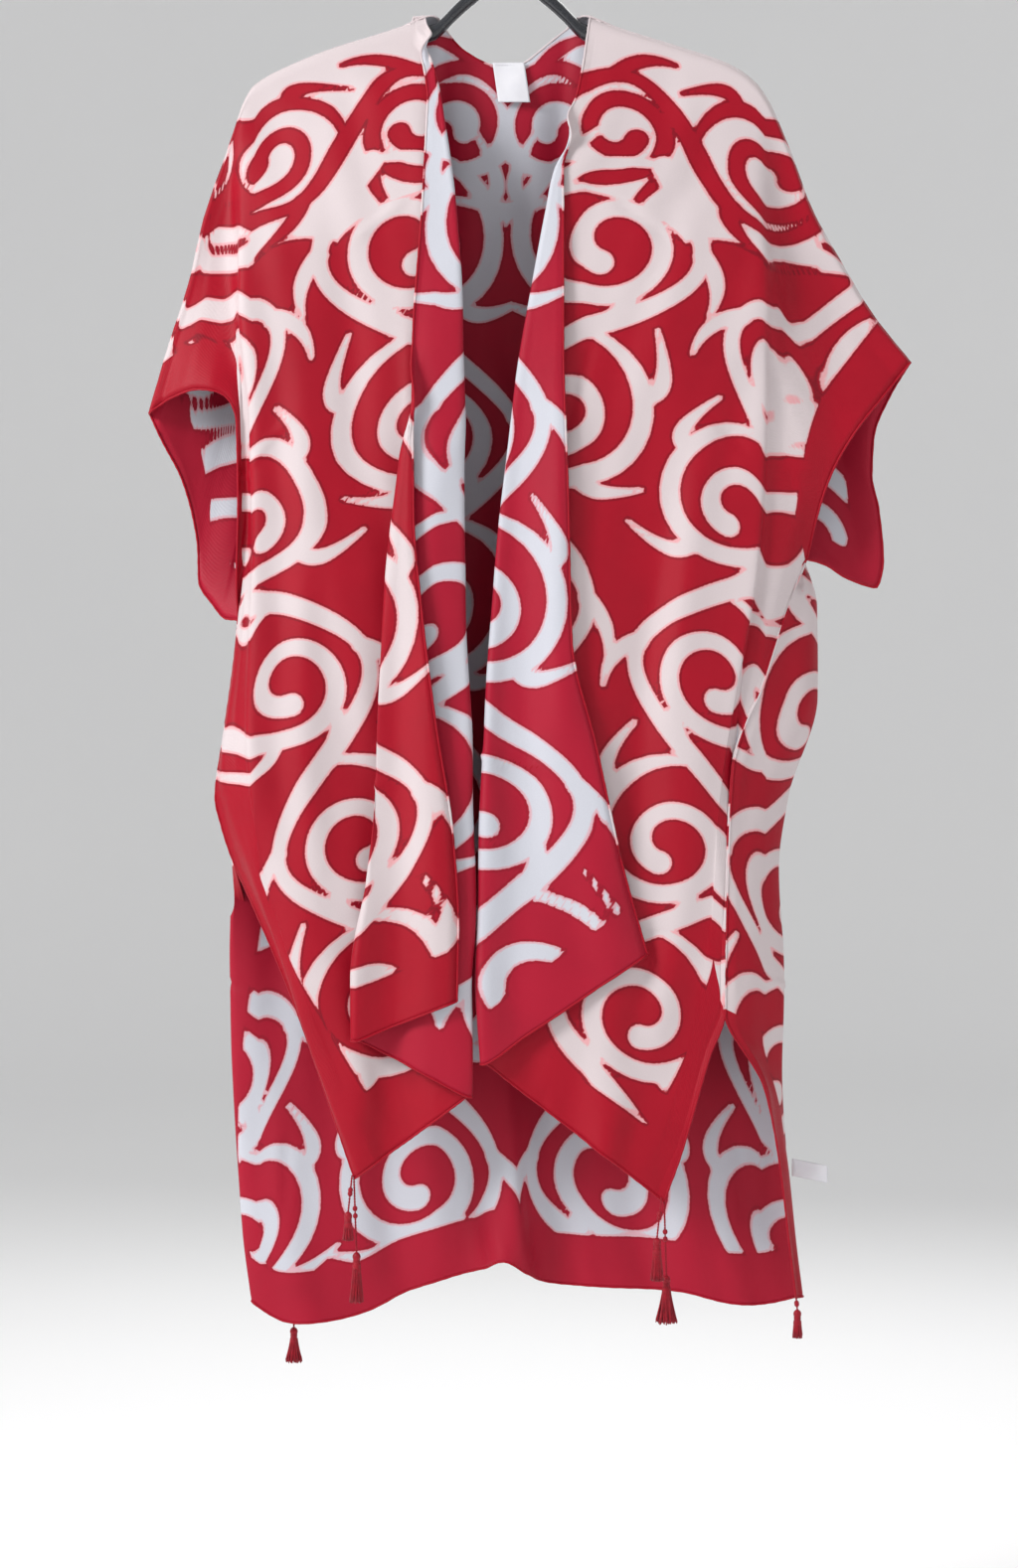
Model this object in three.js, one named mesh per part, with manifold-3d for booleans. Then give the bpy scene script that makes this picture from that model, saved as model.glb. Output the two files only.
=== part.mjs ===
// An open beach kimono of thin cloth on a plastic clothes hanger.
// Millimetres, +Z up, the front faces -Y. The origin is the inside top of the hook.
// Left and right are as seen from the front.
import * as THREE from 'three';
import Module from 'manifold-3d';

const wasm = await Module();
wasm.setup();

// Driving sizes
const WALL = 1.6;            // cloth wall of these solids
const SEAM = 0.3;            // half of the gap where two pieces meet
const ARM_HALF_Y = 6.5;      // half depth of the hanger's arm
const ARM_HALF_Z = 7;        // half height of the hanger's arm
const ARM_CLEAR = 1.4;       // hanger's arm to the cloth over it
const ROLL = 8.1;            // how far the cloth runs down before it hangs free of the arm
const FRONT_DEPTH = 36;      // how far the fronts stand before the hanger
const BACK_DEPTH = 36;       // how far the back hangs behind it
const DROP_IN = 170;         // fall over which the cloth reaches that depth
const HOOK_WIRE = 3;         // radius of the hook
const HOOK_BEND = 22;        // radius of the hook's bend
const CUFF_LENGTH = 800;     // length of cloth over which the cuff's edges part, by row fraction
const CUFF_PART = 6;         // most that a cuff's edge stands off near its tip
const LABEL_WALL = 1;        // wall of the labels
const LABEL_WIDTH = 27;      // neck label
const LABEL_HEIGHT = 34;
const LABEL_TOP = -143;      // height of the neck label's sewn edge
const LABEL_FACE = 12;       // the back's place at the neck, where no nearer point is found

// Fractions of the way from the shoulder to the hem, one for each row of cloth
const ROWS = [0, 0.0015, 0.005, 0.0106, 0.02, 0.035, 0.055, 0.075, 0.1, 0.125, 0.15, 0.19, 0.23,
  0.27, 0.31, 0.35, 0.39, 0.43, 0.47, 0.52, 0.57, 0.62, 0.67, 0.72, 0.78, 0.84, 0.9, 0.95, 1];

// The shoulder seam from the neck to the tip of the sleeve
const SHOULDER = {
  left: [{ x: -64, z: -106 }, { x: -110, z: -122 }, { x: -149, z: -134 }, { x: -186, z: -149 },
    { x: -210, z: -162 }, { x: -222, z: -177 }, { x: -228, z: -199 }, { x: -241, z: -231 },
    { x: -255, z: -271 }, { x: -267, z: -323 }, { x: -285, z: -379 }, { x: -304, z: -442 }],
  right: [{ x: 62, z: -106 }, { x: 103, z: -120 }, { x: 148, z: -134 }, { x: 187, z: -148 },
    { x: 206, z: -161 }, { x: 217, z: -175 }, { x: 226, z: -192 }, { x: 240, z: -228 },
    { x: 257, z: -273 }, { x: 291, z: -332 }, { x: 320, z: -378 }, { x: 339, z: -399 }],
};

// Lines down each front: t is the fraction of the way to the hem
const FRONT = {
  left: {
    side: -1,
    edge: [{ t: 0, x: -64, z: -106 }, { t: 0.07, x: -67, z: -160 }, { t: 0.2, x: -72, z: -270 },
      { t: 0.36, x: -80, z: -400 }, { t: 0.52, x: -79, z: -532 }, { t: 0.62, x: -72, z: -614 },
      { t: 0.72, x: -61, z: -702 }, { t: 0.84, x: -46, z: -802 }, { t: 0.92, x: -42, z: -870 },
      { t: 1, x: -43, z: -935 }],
    foldOut: [{ t: 0, x: -68, z: -107 }, { t: 0.36, x: -80, z: -412 }, { t: 0.44, x: -91, z: -484 },
      { t: 0.56, x: -103, z: -590 }, { t: 0.68, x: -111, z: -700 }, { t: 0.84, x: -118, z: -836 },
      { t: 0.93, x: -129, z: -912 }, { t: 1, x: -130, z: -968 }],
    foldIn: [{ t: 0, x: -86, z: -114 }, { t: 0.012, x: -84, z: -125 }, { t: 0.05, x: -61, z: -158 },
      { t: 0.1, x: -54, z: -203 }, { t: 0.2, x: -43, z: -288 }, { t: 0.29, x: -38, z: -370 },
      { t: 0.54, x: -36, z: -600 }, { t: 0.72, x: -31, z: -764 }, { t: 1, x: -29, z: -1015 }],
    body: [{ t: 0, x: -217, z: -169 }, { t: 0.035, x: -224, z: -202 }, { t: 0.075, x: -225, z: -238 },
      { t: 0.19, x: -222, z: -342 }, { t: 0.31, x: -213, z: -450 }, { t: 0.43, x: -212, z: -560 },
      { t: 0.57, x: -215, z: -690 }, { t: 0.67, x: -211, z: -780 }, { t: 0.78, x: -188, z: -878 },
      { t: 0.9, x: -146, z: -984 }, { t: 1, x: -111, z: -1072 }],
    rim: [{ t: 0, x: -304, y: -SEAM, z: -442 }, { t: 0.03, x: -284, y: -11, z: -430 },
      { t: 0.07, x: -262, y: -20, z: -424 }, { t: 0.1, x: -246, y: -24, z: -426 },
      { t: 0.125, x: -234, y: -24, z: -434 }, { t: 0.15, x: -228, y: -24, z: -452 },
      { t: 0.23, x: -227, y: -22, z: -520 }, { t: 0.31, x: -229, y: -14, z: -590 },
      { t: 0.35, x: -229, y: -SEAM, z: -617 }, { t: 0.39, x: -232, y: -SEAM, z: -649 },
      { t: 0.47, x: -241, y: -SEAM, z: -714 }, { t: 0.53, x: -248, y: -SEAM, z: -766 },
      { t: 0.57, x: -243, y: -SEAM, z: -790 }, { t: 0.62, x: -232, y: -SEAM, z: -823 },
      { t: 0.67, x: -214, y: -14, z: -860 }, { t: 0.78, x: -184, y: -25, z: -928 },
      { t: 0.9, x: -153, y: -28, z: -1015 }, { t: 1, x: -129, y: -30, z: -1085 }],
    seam: { from: 0.35, to: 0.62 },
    lapelTurn: { from: 0.012, to: 0.055, angle: 180 },
    edgeTurn: { from: 0.34, to: 0.44, angle: 180 },
    step: 16,
  },
  right: {
    side: 1,
    edge: [{ t: 0, x: 62, z: -106 }, { t: 0.1, x: 49, z: -186 }, { t: 0.15, x: 45, z: -228 },
      { t: 0.35, x: 45, z: -383 }, { t: 0.52, x: 49, z: -515 }, { t: 0.67, x: 52, z: -636 },
      { t: 0.78, x: 72, z: -722 }, { t: 0.9, x: 93, z: -818 }, { t: 1, x: 115, z: -897 }],
    foldIn: [{ t: 0, x: 80, z: -112 }, { t: 0.09, x: 68, z: -190 }, { t: 0.105, x: 62, z: -204 },
      { t: 0.15, x: 38, z: -243 }, { t: 0.19, x: 31, z: -279 }, { t: 0.27, x: 17, z: -350 },
      { t: 0.35, x: 5, z: -420 }, { t: 0.43, x: -4, z: -490 }, { t: 0.52, x: -11, z: -569 },
      { t: 0.67, x: -19, z: -700 }, { t: 0.84, x: -24, z: -848 }, { t: 1, x: -25, z: -988 }],
    body: [{ t: 0, x: 214, z: -171 }, { t: 0.055, x: 211, z: -222 }, { t: 0.15, x: 211, z: -310 },
      { t: 0.31, x: 211, z: -450 }, { t: 0.43, x: 206, z: -560 }, { t: 0.57, x: 186, z: -690 },
      { t: 0.67, x: 172, z: -780 }, { t: 0.78, x: 165, z: -880 }, { t: 0.9, x: 145, z: -985 },
      { t: 1, x: 112, z: -1090 }],
    rim: [{ t: 0, x: 339, y: -SEAM, z: -399 }, { t: 0.055, x: 314, y: -11, z: -430 },
      { t: 0.1, x: 291, y: -15, z: -459 }, { t: 0.15, x: 273, y: -15, z: -490 },
      { t: 0.19, x: 263, y: -14, z: -516 }, { t: 0.23, x: 256, y: -11, z: -543 },
      { t: 0.27, x: 251, y: -7, z: -566 }, { t: 0.31, x: 236, y: -14, z: -602 },
      { t: 0.35, x: 223, y: -20, z: -640 }, { t: 0.39, x: 211, y: -25, z: -676 },
      { t: 0.43, x: 197, y: -29, z: -706 }, { t: 0.47, x: 187, y: -31, z: -740 },
      { t: 0.57, x: 183, y: -33, z: -806 }, { t: 0.67, x: 181, y: -34, z: -868 },
      { t: 0.78, x: 180, y: -34, z: -946 }, { t: 0.84, x: 167, y: -34, z: -984 },
      { t: 0.95, x: 143, y: -34, z: -1066 }, { t: 1, x: 129, y: -34, z: -1104 }],
    seam: { from: 0.27, to: 0.78 },
    lapelTurn: { from: 0.095, to: 0.15, angle: 180 },
    edgeTurn: { from: 2, to: 3, angle: 180 },
    step: 8,
  },
};

// Lines down the back: rim is the cuff, seam and slit edge, turn is where the cloth goes round
const BACK = {
  left: {
    rim: [{ t: 0, x: -304, y: SEAM, z: -442 }, { t: 0.035, x: -294, y: 9, z: -464 },
      { t: 0.1, x: -278, y: 17, z: -496 }, { t: 0.15, x: -269, y: 21, z: -528 },
      { t: 0.19, x: -265, y: 22, z: -554 }, { t: 0.23, x: -264, y: 20, z: -582 },
      { t: 0.27, x: -252, y: 14, z: -602 }, { t: 0.31, x: -240, y: 7, z: -615 },
      { t: 0.35, x: -229, y: SEAM, z: -617 }, { t: 0.39, x: -232, y: SEAM, z: -649 },
      { t: 0.47, x: -241, y: SEAM, z: -714 }, { t: 0.53, x: -248, y: SEAM, z: -766 },
      { t: 0.57, x: -243, y: SEAM, z: -790 }, { t: 0.62, x: -232, y: SEAM, z: -823 },
      { t: 0.67, x: -224, y: 28, z: -866 }, { t: 0.72, x: -215, y: 46, z: -920 },
      { t: 0.84, x: -203, y: 56, z: -1045 }, { t: 1, x: -186, y: 60, z: -1213 }],
    turn: [{ t: 0, x: -218, y: SEAM, z: -171 }, { t: 0.075, x: -224, y: 24, z: -240 },
      { t: 0.19, x: -220, y: 32, z: -345 }, { t: 0.31, x: -214, y: 34, z: -480 },
      { t: 0.39, x: -218, y: 30, z: -600 }, { t: 0.47, x: -230, y: 20, z: -700 },
      { t: 0.57, x: -236, y: 16, z: -790 }, { t: 0.62, x: -234, y: 18, z: -836 },
      { t: 0.72, x: -236, y: 34, z: -930 }, { t: 0.84, x: -234, y: 38, z: -1050 },
      { t: 0.95, x: -229, y: 40, z: -1140 }, { t: 1, x: -223, y: 40, z: -1199 }],
  },
  right: {
    rim: [{ t: 0, x: 339, y: SEAM, z: -399 }, { t: 0.055, x: 322, y: 10, z: -428 },
      { t: 0.1, x: 310, y: 18, z: -462 }, { t: 0.125, x: 309, y: 22, z: -492 },
      { t: 0.15, x: 315, y: 24, z: -520 }, { t: 0.19, x: 319, y: 24, z: -565 },
      { t: 0.21, x: 312, y: 20, z: -588 }, { t: 0.23, x: 288, y: 12, z: -581 },
      { t: 0.25, x: 266, y: 2, z: -569 }, { t: 0.27, x: 251, y: -7, z: -566 },
      { t: 0.31, x: 236, y: -14, z: -602 }, { t: 0.35, x: 223, y: -20, z: -640 },
      { t: 0.39, x: 211, y: -25, z: -676 }, { t: 0.43, x: 197, y: -29, z: -706 },
      { t: 0.47, x: 187, y: -31, z: -740 }, { t: 0.57, x: 183, y: -33, z: -806 },
      { t: 0.67, x: 181, y: -34, z: -868 }, { t: 0.78, x: 180, y: -34, z: -946 },
      { t: 0.84, x: 214, y: -24, z: -1010 }, { t: 0.9, x: 229, y: -6, z: -1080 },
      { t: 0.95, x: 237, y: 6, z: -1140 }, { t: 1, x: 244, y: 14, z: -1192 }],
    turn: [{ t: 0, x: 215, y: SEAM, z: -172 }, { t: 0.055, x: 212, y: 22, z: -240 },
      { t: 0.15, x: 214, y: 34, z: -370 }, { t: 0.23, x: 226, y: 34, z: -480 },
      { t: 0.27, x: 244, y: 26, z: -545 }, { t: 0.31, x: 262, y: 12, z: -602 },
      { t: 0.39, x: 262, y: 8, z: -682 }, { t: 0.47, x: 239, y: 4, z: -765 },
      { t: 0.55, x: 231, y: 2, z: -825 }, { t: 0.67, x: 234, y: 2, z: -905 },
      { t: 0.78, x: 234, y: 6, z: -985 }, { t: 0.84, x: 236, y: 14, z: -1050 },
      { t: 0.9, x: 241, y: 22, z: -1105 }, { t: 1, x: 249, y: 28, z: -1193 }],
  },
  // Free edge at the neck and the hem below it, from left to right
  neck: [{ x: -64, y: SEAM, z: -106 }, { x: -59, y: 11, z: -109 }, { x: -46, y: 12, z: -126 },
    { x: -30, y: 12, z: -138 }, { x: -14, y: 12, z: -145 }, { x: 0, y: 12, z: -147 },
    { x: 14, y: 12, z: -142 }, { x: 29, y: 12, z: -130 }, { x: 44, y: 12, z: -118 },
    { x: 57, y: 11, z: -109 }, { x: 62, y: SEAM, z: -106 }],
  hem: [{ x: -223, z: -1199 }, { x: -201, z: -1213 }, { x: -181, z: -1216 }, { x: -136, z: -1212 },
    { x: -99, z: -1195 }, { x: -59, z: -1181 }, { x: -18, z: -1168 }, { x: 2, z: -1160 },
    { x: 16, z: -1174 }, { x: 37, z: -1183 }, { x: 70, z: -1186 }, { x: 144, z: -1189 },
    { x: 187, z: -1199 }, { x: 208, z: -1202 }, { x: 249, z: -1193 }],
};

// Tassels: where each cord starts, how far its head hangs to the side, its length and its skirt's
const TASSELS = [
  { name: 'tassel_front_left_upper', x: -131, y: -31.9, z: -1082, leanX: -3, leanY: -6, cord: 30,
    skirt: 24, wide: 5 },
  { name: 'tassel_front_left_lower', x: -129.5, y: -30, z: -1085.4, leanX: 2, leanY: 3, cord: 62,
    skirt: 42, wide: 6.5 },
  { name: 'tassel_front_right_upper', x: 127, y: -36.6, z: -1100, leanX: -4, leanY: -6, cord: 33,
    skirt: 36, wide: 6 },
  { name: 'tassel_front_right_lower', x: 129.5, y: -34, z: -1104.4, leanX: 2, leanY: 5, cord: 62,
    skirt: 40, wide: 10 },
  { name: 'tassel_back_left', x: -186, y: 60, z: -1213.4, leanX: 0, leanY: 0, cord: 12, skirt: 30,
    wide: 8 },
  { name: 'tassel_back_right', x: 244, y: 14, z: -1192.4, leanX: 1, leanY: 0, cord: 10, skirt: 24,
    wide: 4.5 },
];
const STRANDS = 14;

const RED = 0xa80f24;
const PANEL_CLOTH = new THREE.MeshStandardMaterial({ color: RED, roughness: 0.55, metalness: 0 });
const LABEL_CLOTH = new THREE.MeshStandardMaterial({ color: 0xe9e8ec, roughness: 0.6, metalness: 0 });
const TASSEL_YARN = new THREE.MeshStandardMaterial({ color: 0xa30c1e, roughness: 0.7, metalness: 0 });
const BLACK_PLASTIC = new THREE.MeshStandardMaterial({ color: 0x101114, roughness: 0.25, metalness: 0 });

const clamp01 = (v) => Math.min(1, Math.max(0, v));
const ease = (v) => clamp01(v) ** 2 * (3 - 2 * clamp01(v));
const mix = (a, b, f) => a + (b - a) * f;

// Smooth curve through a table's rows, with no overshoot, at key value k
function along(rows, key, column, k) {
  const n = rows.length;
  if (k <= rows[0][key]) return rows[0][column];
  if (k >= rows[n - 1][key]) return rows[n - 1][column];
  let i = 0;
  while (rows[i + 1][key] < k) i += 1;
  const slope = (a) => (rows[a + 1][column] - rows[a][column]) / (rows[a + 1][key] - rows[a][key]);
  const tangent = (a) => {
    if (a === 0) return slope(0);
    if (a === n - 1) return slope(n - 2);
    const before = slope(a - 1);
    const after = slope(a);
    return before * after <= 0 ? 0 : (2 * before * after) / (before + after);
  };
  const h = rows[i + 1][key] - rows[i][key];
  const f = (k - rows[i][key]) / h;
  const f2 = f * f;
  const f3 = f2 * f;
  return (2 * f3 - 3 * f2 + 1) * rows[i][column] + (f3 - 2 * f2 + f) * h * tangent(i)
    + (3 * f2 - 2 * f3) * rows[i + 1][column] + (f3 - f2) * h * tangent(i + 1);
}

// Rows of a table with the share of the length run so far added as s
function withLength(rows, axes) {
  let run = 0;
  const out = rows.map((row, i) => {
    if (i) run += Math.hypot(...axes.map((a) => row[a] - rows[i - 1][a]));
    return { ...row, run };
  });
  return out.map((row) => ({ ...row, s: row.run / run }));
}

// Height of the shoulder line over x, level inside the neck
function shoulderHeight(x) {
  const rows = x < 0 ? SHOULDER.left : SHOULDER.right;
  const outward = rows.map((row) => ({ q: Math.abs(row.x), z: row.z }));
  return along(outward, 'q', 'z', Math.abs(x));
}

// Piece of a shoulder line between two x values, as a function of 0 to 1 along its length
function shoulderStretch(rows, fromX, toX) {
  const tagged = withLength(rows, ['x', 'z']);
  const place = (x) => {
    let i = 0;
    while (i < tagged.length - 2 && Math.abs(tagged[i + 1].x) < Math.abs(x)) i += 1;
    const f = (x - tagged[i].x) / (tagged[i + 1].x - tagged[i].x);
    return mix(tagged[i].s, tagged[i + 1].s, f);
  };
  const s0 = place(fromX);
  const s1 = place(toX);
  return (f) => {
    const s = mix(s0, s1, f);
    return { x: along(tagged, 's', 'x', s), z: along(tagged, 's', 'z', s) };
  };
}

// How far the cloth stands off the hanger's plane after a fall of d
function standOff(d, depth) {
  const round = d < ROLL ? (ARM_HALF_Y + ARM_CLEAR) * Math.sqrt(1 - (1 - d / ROLL) ** 2)
    : ARM_HALF_Y + ARM_CLEAR;
  return round + (depth - ARM_HALF_Y - ARM_CLEAR) * ease((d - ROLL) / DROP_IN);
}

// Stand-off of a cuff's edge, which leaves the seam at its tip as the cloth does
function spread(t, y) {
  if (t >= 0.03) return y;
  const parted = Math.min(CUFF_PART, standOff(t * CUFF_LENGTH, ARM_HALF_Y + ARM_CLEAR));
  return Math.max(y, parted, t ? 0 : SEAM);
}

// Soft upright folds, by place
function frontRipple(x, z) {
  const grow = ease((-z - 200) / 500);
  return grow * (3.2 * Math.sin(x / 17 + z / 420) + 1.6 * Math.sin(x / 8.3 - z / 300 + 1));
}
function backRipple(x, z) {
  const grow = ease((-z - 220) / 700);
  const centre = -15 * ease((-z - 820) / 340) * Math.exp(-(((x - 3) / 17) ** 2));
  return centre + grow * (7 * Math.sin(x / 26 + z / 600 + 0.6) + 2.5 * Math.sin(x / 11 - z / 250));
}

// One row of a front, as points from the opening edge to the rim
function frontRow(spec, t) {
  const sg = spec.side;
  const radius = mix(1.5, 4.6, ease((t - 0.05) / 0.5));
  const bend = Math.PI * radius;
  const turnIn = Math.PI * ease((t - spec.lapelTurn.from) / (spec.lapelTurn.to - spec.lapelTurn.from));
  const turnOut = Math.PI * ease((t - spec.edgeTurn.from) / (spec.edgeTurn.to - spec.edgeTurn.from));
  const folded = Boolean(spec.foldOut);
  const at = (rows, column) => along(rows, 't', column, t);
  const qEdge = sg * at(spec.edge, 'x');
  const qIn = sg * at(spec.foldIn, 'x');
  const zEdge = at(spec.edge, 'z');
  const zIn = at(spec.foldIn, 'z');
  const zOut = folded ? at(spec.foldOut, 'z') : zEdge;
  let flap;
  let strip = 0;
  if (folded) {
    const shut = ease((t - spec.edgeTurn.from) / (spec.edgeTurn.to - spec.edgeTurn.from));
    const qOut = sg * at(spec.foldOut, 'x');
    strip = Math.max(4, mix(4, qOut - radius - qEdge, shut));
    const open = qEdge - qIn - radius - bend - strip;
    flap = Math.max(2.5, mix(open, qOut - qIn - 2 * radius, shut));
  } else {
    flap = Math.max(8, qEdge - qIn - radius);
  }
  // Walk from the inner fold to the edge: q runs to the side, p runs forward
  const points = [];
  let q = qIn + radius;
  let p = 0;
  let heading = 0;
  const walk = (length, turn, parts, zFrom, zTo) => {
    for (let i = 1; i <= parts; i += 1) {
      const mid = heading + turn / parts / 2;
      q -= Math.cos(mid) * (length / parts);
      p += Math.sin(mid) * (length / parts);
      heading += turn / parts;
      points.push({ q, p, z: mix(zFrom, zTo, i / parts) });
    }
  };
  walk(bend, turnIn, 4, zIn, zIn);
  walk(flap, 0, folded ? 3 : 5, zIn, zOut);
  if (folded) {
    walk(bend, -turnOut, 4, zOut, zOut);
    walk(strip, 0, 3, zOut, zEdge);
  }
  const row = points.reverse().map((point) => {
    const x = sg * point.q;
    const away = shoulderHeight(x) - point.z;
    const y = -(standOff(Math.max(0, away), FRONT_DEPTH) + point.p) - frontRipple(x, point.z);
    return { x, y: Math.min(-SEAM, y), z: point.z };
  });
  // The main layer, from the inner fold to the body line
  const bodyX = at(spec.body, 'x');
  const bodyZ = at(spec.body, 'z');
  const lineTop = shoulderStretch(spec.top, spec.foldIn[0].x + sg * 1.5, spec.body[0].x);
  const keep = 1 - ease(t / 0.3);
  const innerX = sg * (qIn + radius);
  const topInner = { x: spec.foldIn[0].x + sg * 1.5, z: spec.foldIn[0].z };
  const MAIN = 8;
  for (let i = 0; i <= MAIN; i += 1) {
    const f = i / MAIN;
    const fall = lineTop(f);
    let x = mix(innerX, bodyX, f);
    let z = mix(zIn, bodyZ, f);
    x += keep * (fall.x - mix(topInner.x, spec.body[0].x, f));
    z += keep * (fall.z - mix(topInner.z, spec.body[0].z, f));
    const away = Math.max(0, shoulderHeight(x) - z);
    const d = i === MAIN ? Math.max(0, spec.body[0].z - z) : away;
    const y = -standOff(d, FRONT_DEPTH) - frontRipple(x, z) * (1 - 0.6 * (i === MAIN));
    row.push({ x, y: Math.min(-SEAM, y), z });
  }
  // From the body line out to the cuff, the side seam or the slit
  const rimAt = { x: at(spec.rim, 'x'), y: -spread(t, -at(spec.rim, 'y')), z: at(spec.rim, 'z') };
  const bodyY = row[row.length - 1].y;
  const outer = shoulderStretch(spec.top, spec.body[0].x, spec.rim[0].x);
  const OUT = 5;
  const stepBack = spec.step * ease(t / 0.12) * (1 - ease((t - 0.5) / 0.2));
  const seamed = t >= spec.seam.from - 1e-6 && t <= spec.seam.to + 1e-6;
  for (let i = 1; i <= OUT; i += 1) {
    const f = i / OUT;
    const fall = outer(f);
    let x = mix(bodyX, rimAt.x, f);
    let z = mix(bodyZ, rimAt.z, f);
    x += keep * (fall.x - mix(spec.body[0].x, spec.rim[0].x, f));
    z += keep * (fall.z - mix(spec.body[0].z, spec.rim[0].z, f));
    const shoulderY = Math.min(-SEAM, bodyY + stepBack * ease(f * 3));
    const y = mix(rimAt.y, shoulderY, Math.sqrt(Math.max(0, 1 - f * f)));
    row.push({ x, y: i === OUT ? rimAt.y : Math.min(-SEAM, y), z });
  }
  if (seamed && sg > 0) row[row.length - 1].x -= 2 * SEAM;
  return row;
}

function frontGrid(name) {
  const spec = { ...FRONT[name], top: SHOULDER[name] };
  const grid = ROWS.map((t) => frontRow(spec, t));
  const axis = spec.side > 0 ? 'x' : 'y';
  return { grid, seams: { top: true, last: { ...spec.seam, axis } } };
}

// Across the back: rim, turn, neck ends, turn, rim
function backRow(t) {
  const side = (name) => {
    const spec = BACK[name];
    const get = (rows) => ({ x: along(rows, 't', 'x', t), y: along(rows, 't', 'y', t),
      z: along(rows, 't', 'z', t) });
    const rim = get(spec.rim);
    rim.y = spread(t, rim.y);
    return { rim, turn: get(spec.turn) };
  };
  const left = side('left');
  const right = side('right');
  const keep = 1 - ease(t / 0.3);
  const low = ease((t - 0.55) / 0.45);
  const neckLine = withLength(BACK.neck, ['x', 'z']);
  const MAIN_SIDE = 5;
  const MAIN_MID = 10;
  const main = [];
  const topLeft = shoulderStretch(SHOULDER.left, BACK.left.turn[0].x, BACK.neck[0].x);
  const topRight = shoulderStretch(SHOULDER.right, BACK.neck[BACK.neck.length - 1].x,
    BACK.right.turn[0].x);
  const tops = [];
  for (let i = 0; i < MAIN_SIDE; i += 1) tops.push({ ...topLeft(i / MAIN_SIDE), y: SEAM });
  for (let i = 0; i <= MAIN_MID; i += 1) {
    const s = i / MAIN_MID;
    tops.push({ x: along(neckLine, 's', 'x', s), y: along(neckLine, 's', 'y', s),
      z: along(neckLine, 's', 'z', s) });
  }
  for (let i = 1; i <= MAIN_SIDE; i += 1) tops.push({ ...topRight(i / MAIN_SIDE), y: SEAM });
  const lastTop = tops.length - 1;
  tops.forEach((top, i) => {
    const f = (top.x - tops[0].x) / (tops[lastTop].x - tops[0].x);
    const x = mix(left.turn.x, right.turn.x, f);
    const hem = along(BACK.hem, 'x', 'z', x);
    const straight = mix(top.z, along(BACK.hem, 'x', 'z', mix(-223, 249, f)), t);
    const nearest = mix(left.turn.z, right.turn.z, f);
    const bothEnds = 1 - Math.min(1, 6 * Math.min(f, 1 - f));
    const upper = mix(straight, nearest, bothEnds * (1 - keep));
    const z = upper * (1 - low) + low * mix(straight, hem, 0.5 * low);
    const d = Math.max(0, top.z - z);
    const free = clamp01(top.y / 9.5);
    const standing = standOff(d, BACK_DEPTH) * (1 - free)
      + free * mix(top.y, BACK_DEPTH, ease(d / DROP_IN));
    const y = Math.max(top.y, standing + backRipple(x, z));
    const towardTurn = f < 0.5 ? left.turn.y : right.turn.y;
    const near = ease(1 - Math.min(1, Math.min(f, 1 - f) * 9)) * ease(t / 0.1);
    const ends = i === 0 || i === lastTop;
    const atEnd = Math.max(SEAM, mix(y, towardTurn, ease(t / 0.1)));
    main.push({ x, y: ends ? atEnd : mix(y, towardTurn, near), z });
  });
  main[0].z = mix(main[0].z, left.turn.z, ease(t / 0.06));
  main[lastTop].z = mix(main[lastTop].z, right.turn.z, ease(t / 0.06));
  // From the turn to the rim, leaving along the back and bending round
  const OUT = 5;
  const bendTo = (turn, before, rim, top, fromX, toX) => {
    const chord = Math.hypot(rim.x - turn.x, rim.y - turn.y);
    const flow = { x: rim.x - before.x, y: rim.y - before.y };
    const size = Math.hypot(flow.x, flow.y) || 1;
    const out = [];
    const stretch = shoulderStretch(top, fromX, toX);
    const ends = { x: stretch(1).x, z: stretch(1).z };
    const begin = stretch(0);
    for (let i = 1; i <= OUT; i += 1) {
      const f = i / OUT;
      const h1 = f * f * f - 2 * f * f + f;
      const h2 = f * f * f - f * f;
      const base = 3 * f * f - 2 * f * f * f;
      const bow = ease(t / 0.12);
      let x = mix(mix(turn.x, rim.x, f), mix(turn.x, rim.x, base)
        + h1 * chord * flow.x / size + h2 * (rim.x - turn.x), bow);
      let y = mix(mix(turn.y, rim.y, f), mix(turn.y, rim.y, base)
        + h1 * chord * flow.y / size + h2 * (rim.y - turn.y), bow);
      let z = mix(turn.z, rim.z, f);
      const fall = stretch(f);
      x += keep * (fall.x - mix(begin.x, ends.x, f));
      z += keep * (fall.z - mix(begin.z, ends.z, f));
      if (t < 0.3) {
        const inward = turn.y - rim.y;
        y = Math.max(SEAM, mix(rim.y, mix(turn.y, rim.y, f), bow * 0.5)
          + inward * 0.5 * (1 - f) * bow + (1 - bow) * (1 - f) * inward);
      }
      out.push(i === OUT ? { x: rim.x, y: rim.y, z: rim.z } : { x, y, z });
    }
    return out;
  };
  const leftOut = bendTo(main[0], main[1], left.rim, SHOULDER.left, BACK.left.turn[0].x,
    BACK.left.rim[0].x);
  const rightOut = bendTo(main[lastTop], main[lastTop - 1], right.rim, SHOULDER.right,
    BACK.right.turn[0].x, BACK.right.rim[0].x);
  const seamed = t >= FRONT.right.seam.from - 1e-6 && t <= FRONT.right.seam.to + 1e-6;
  if (seamed) rightOut[OUT - 1].x += 2 * SEAM;
  return [...leftOut.reverse(), ...main, ...rightOut];
}

function backGrid() {
  return { grid: ROWS.map(backRow), seams: { top: true, first: { ...FRONT.left.seam, axis: 'y' },
    last: { ...FRONT.right.seam, axis: 'x' } } };
}

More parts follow.
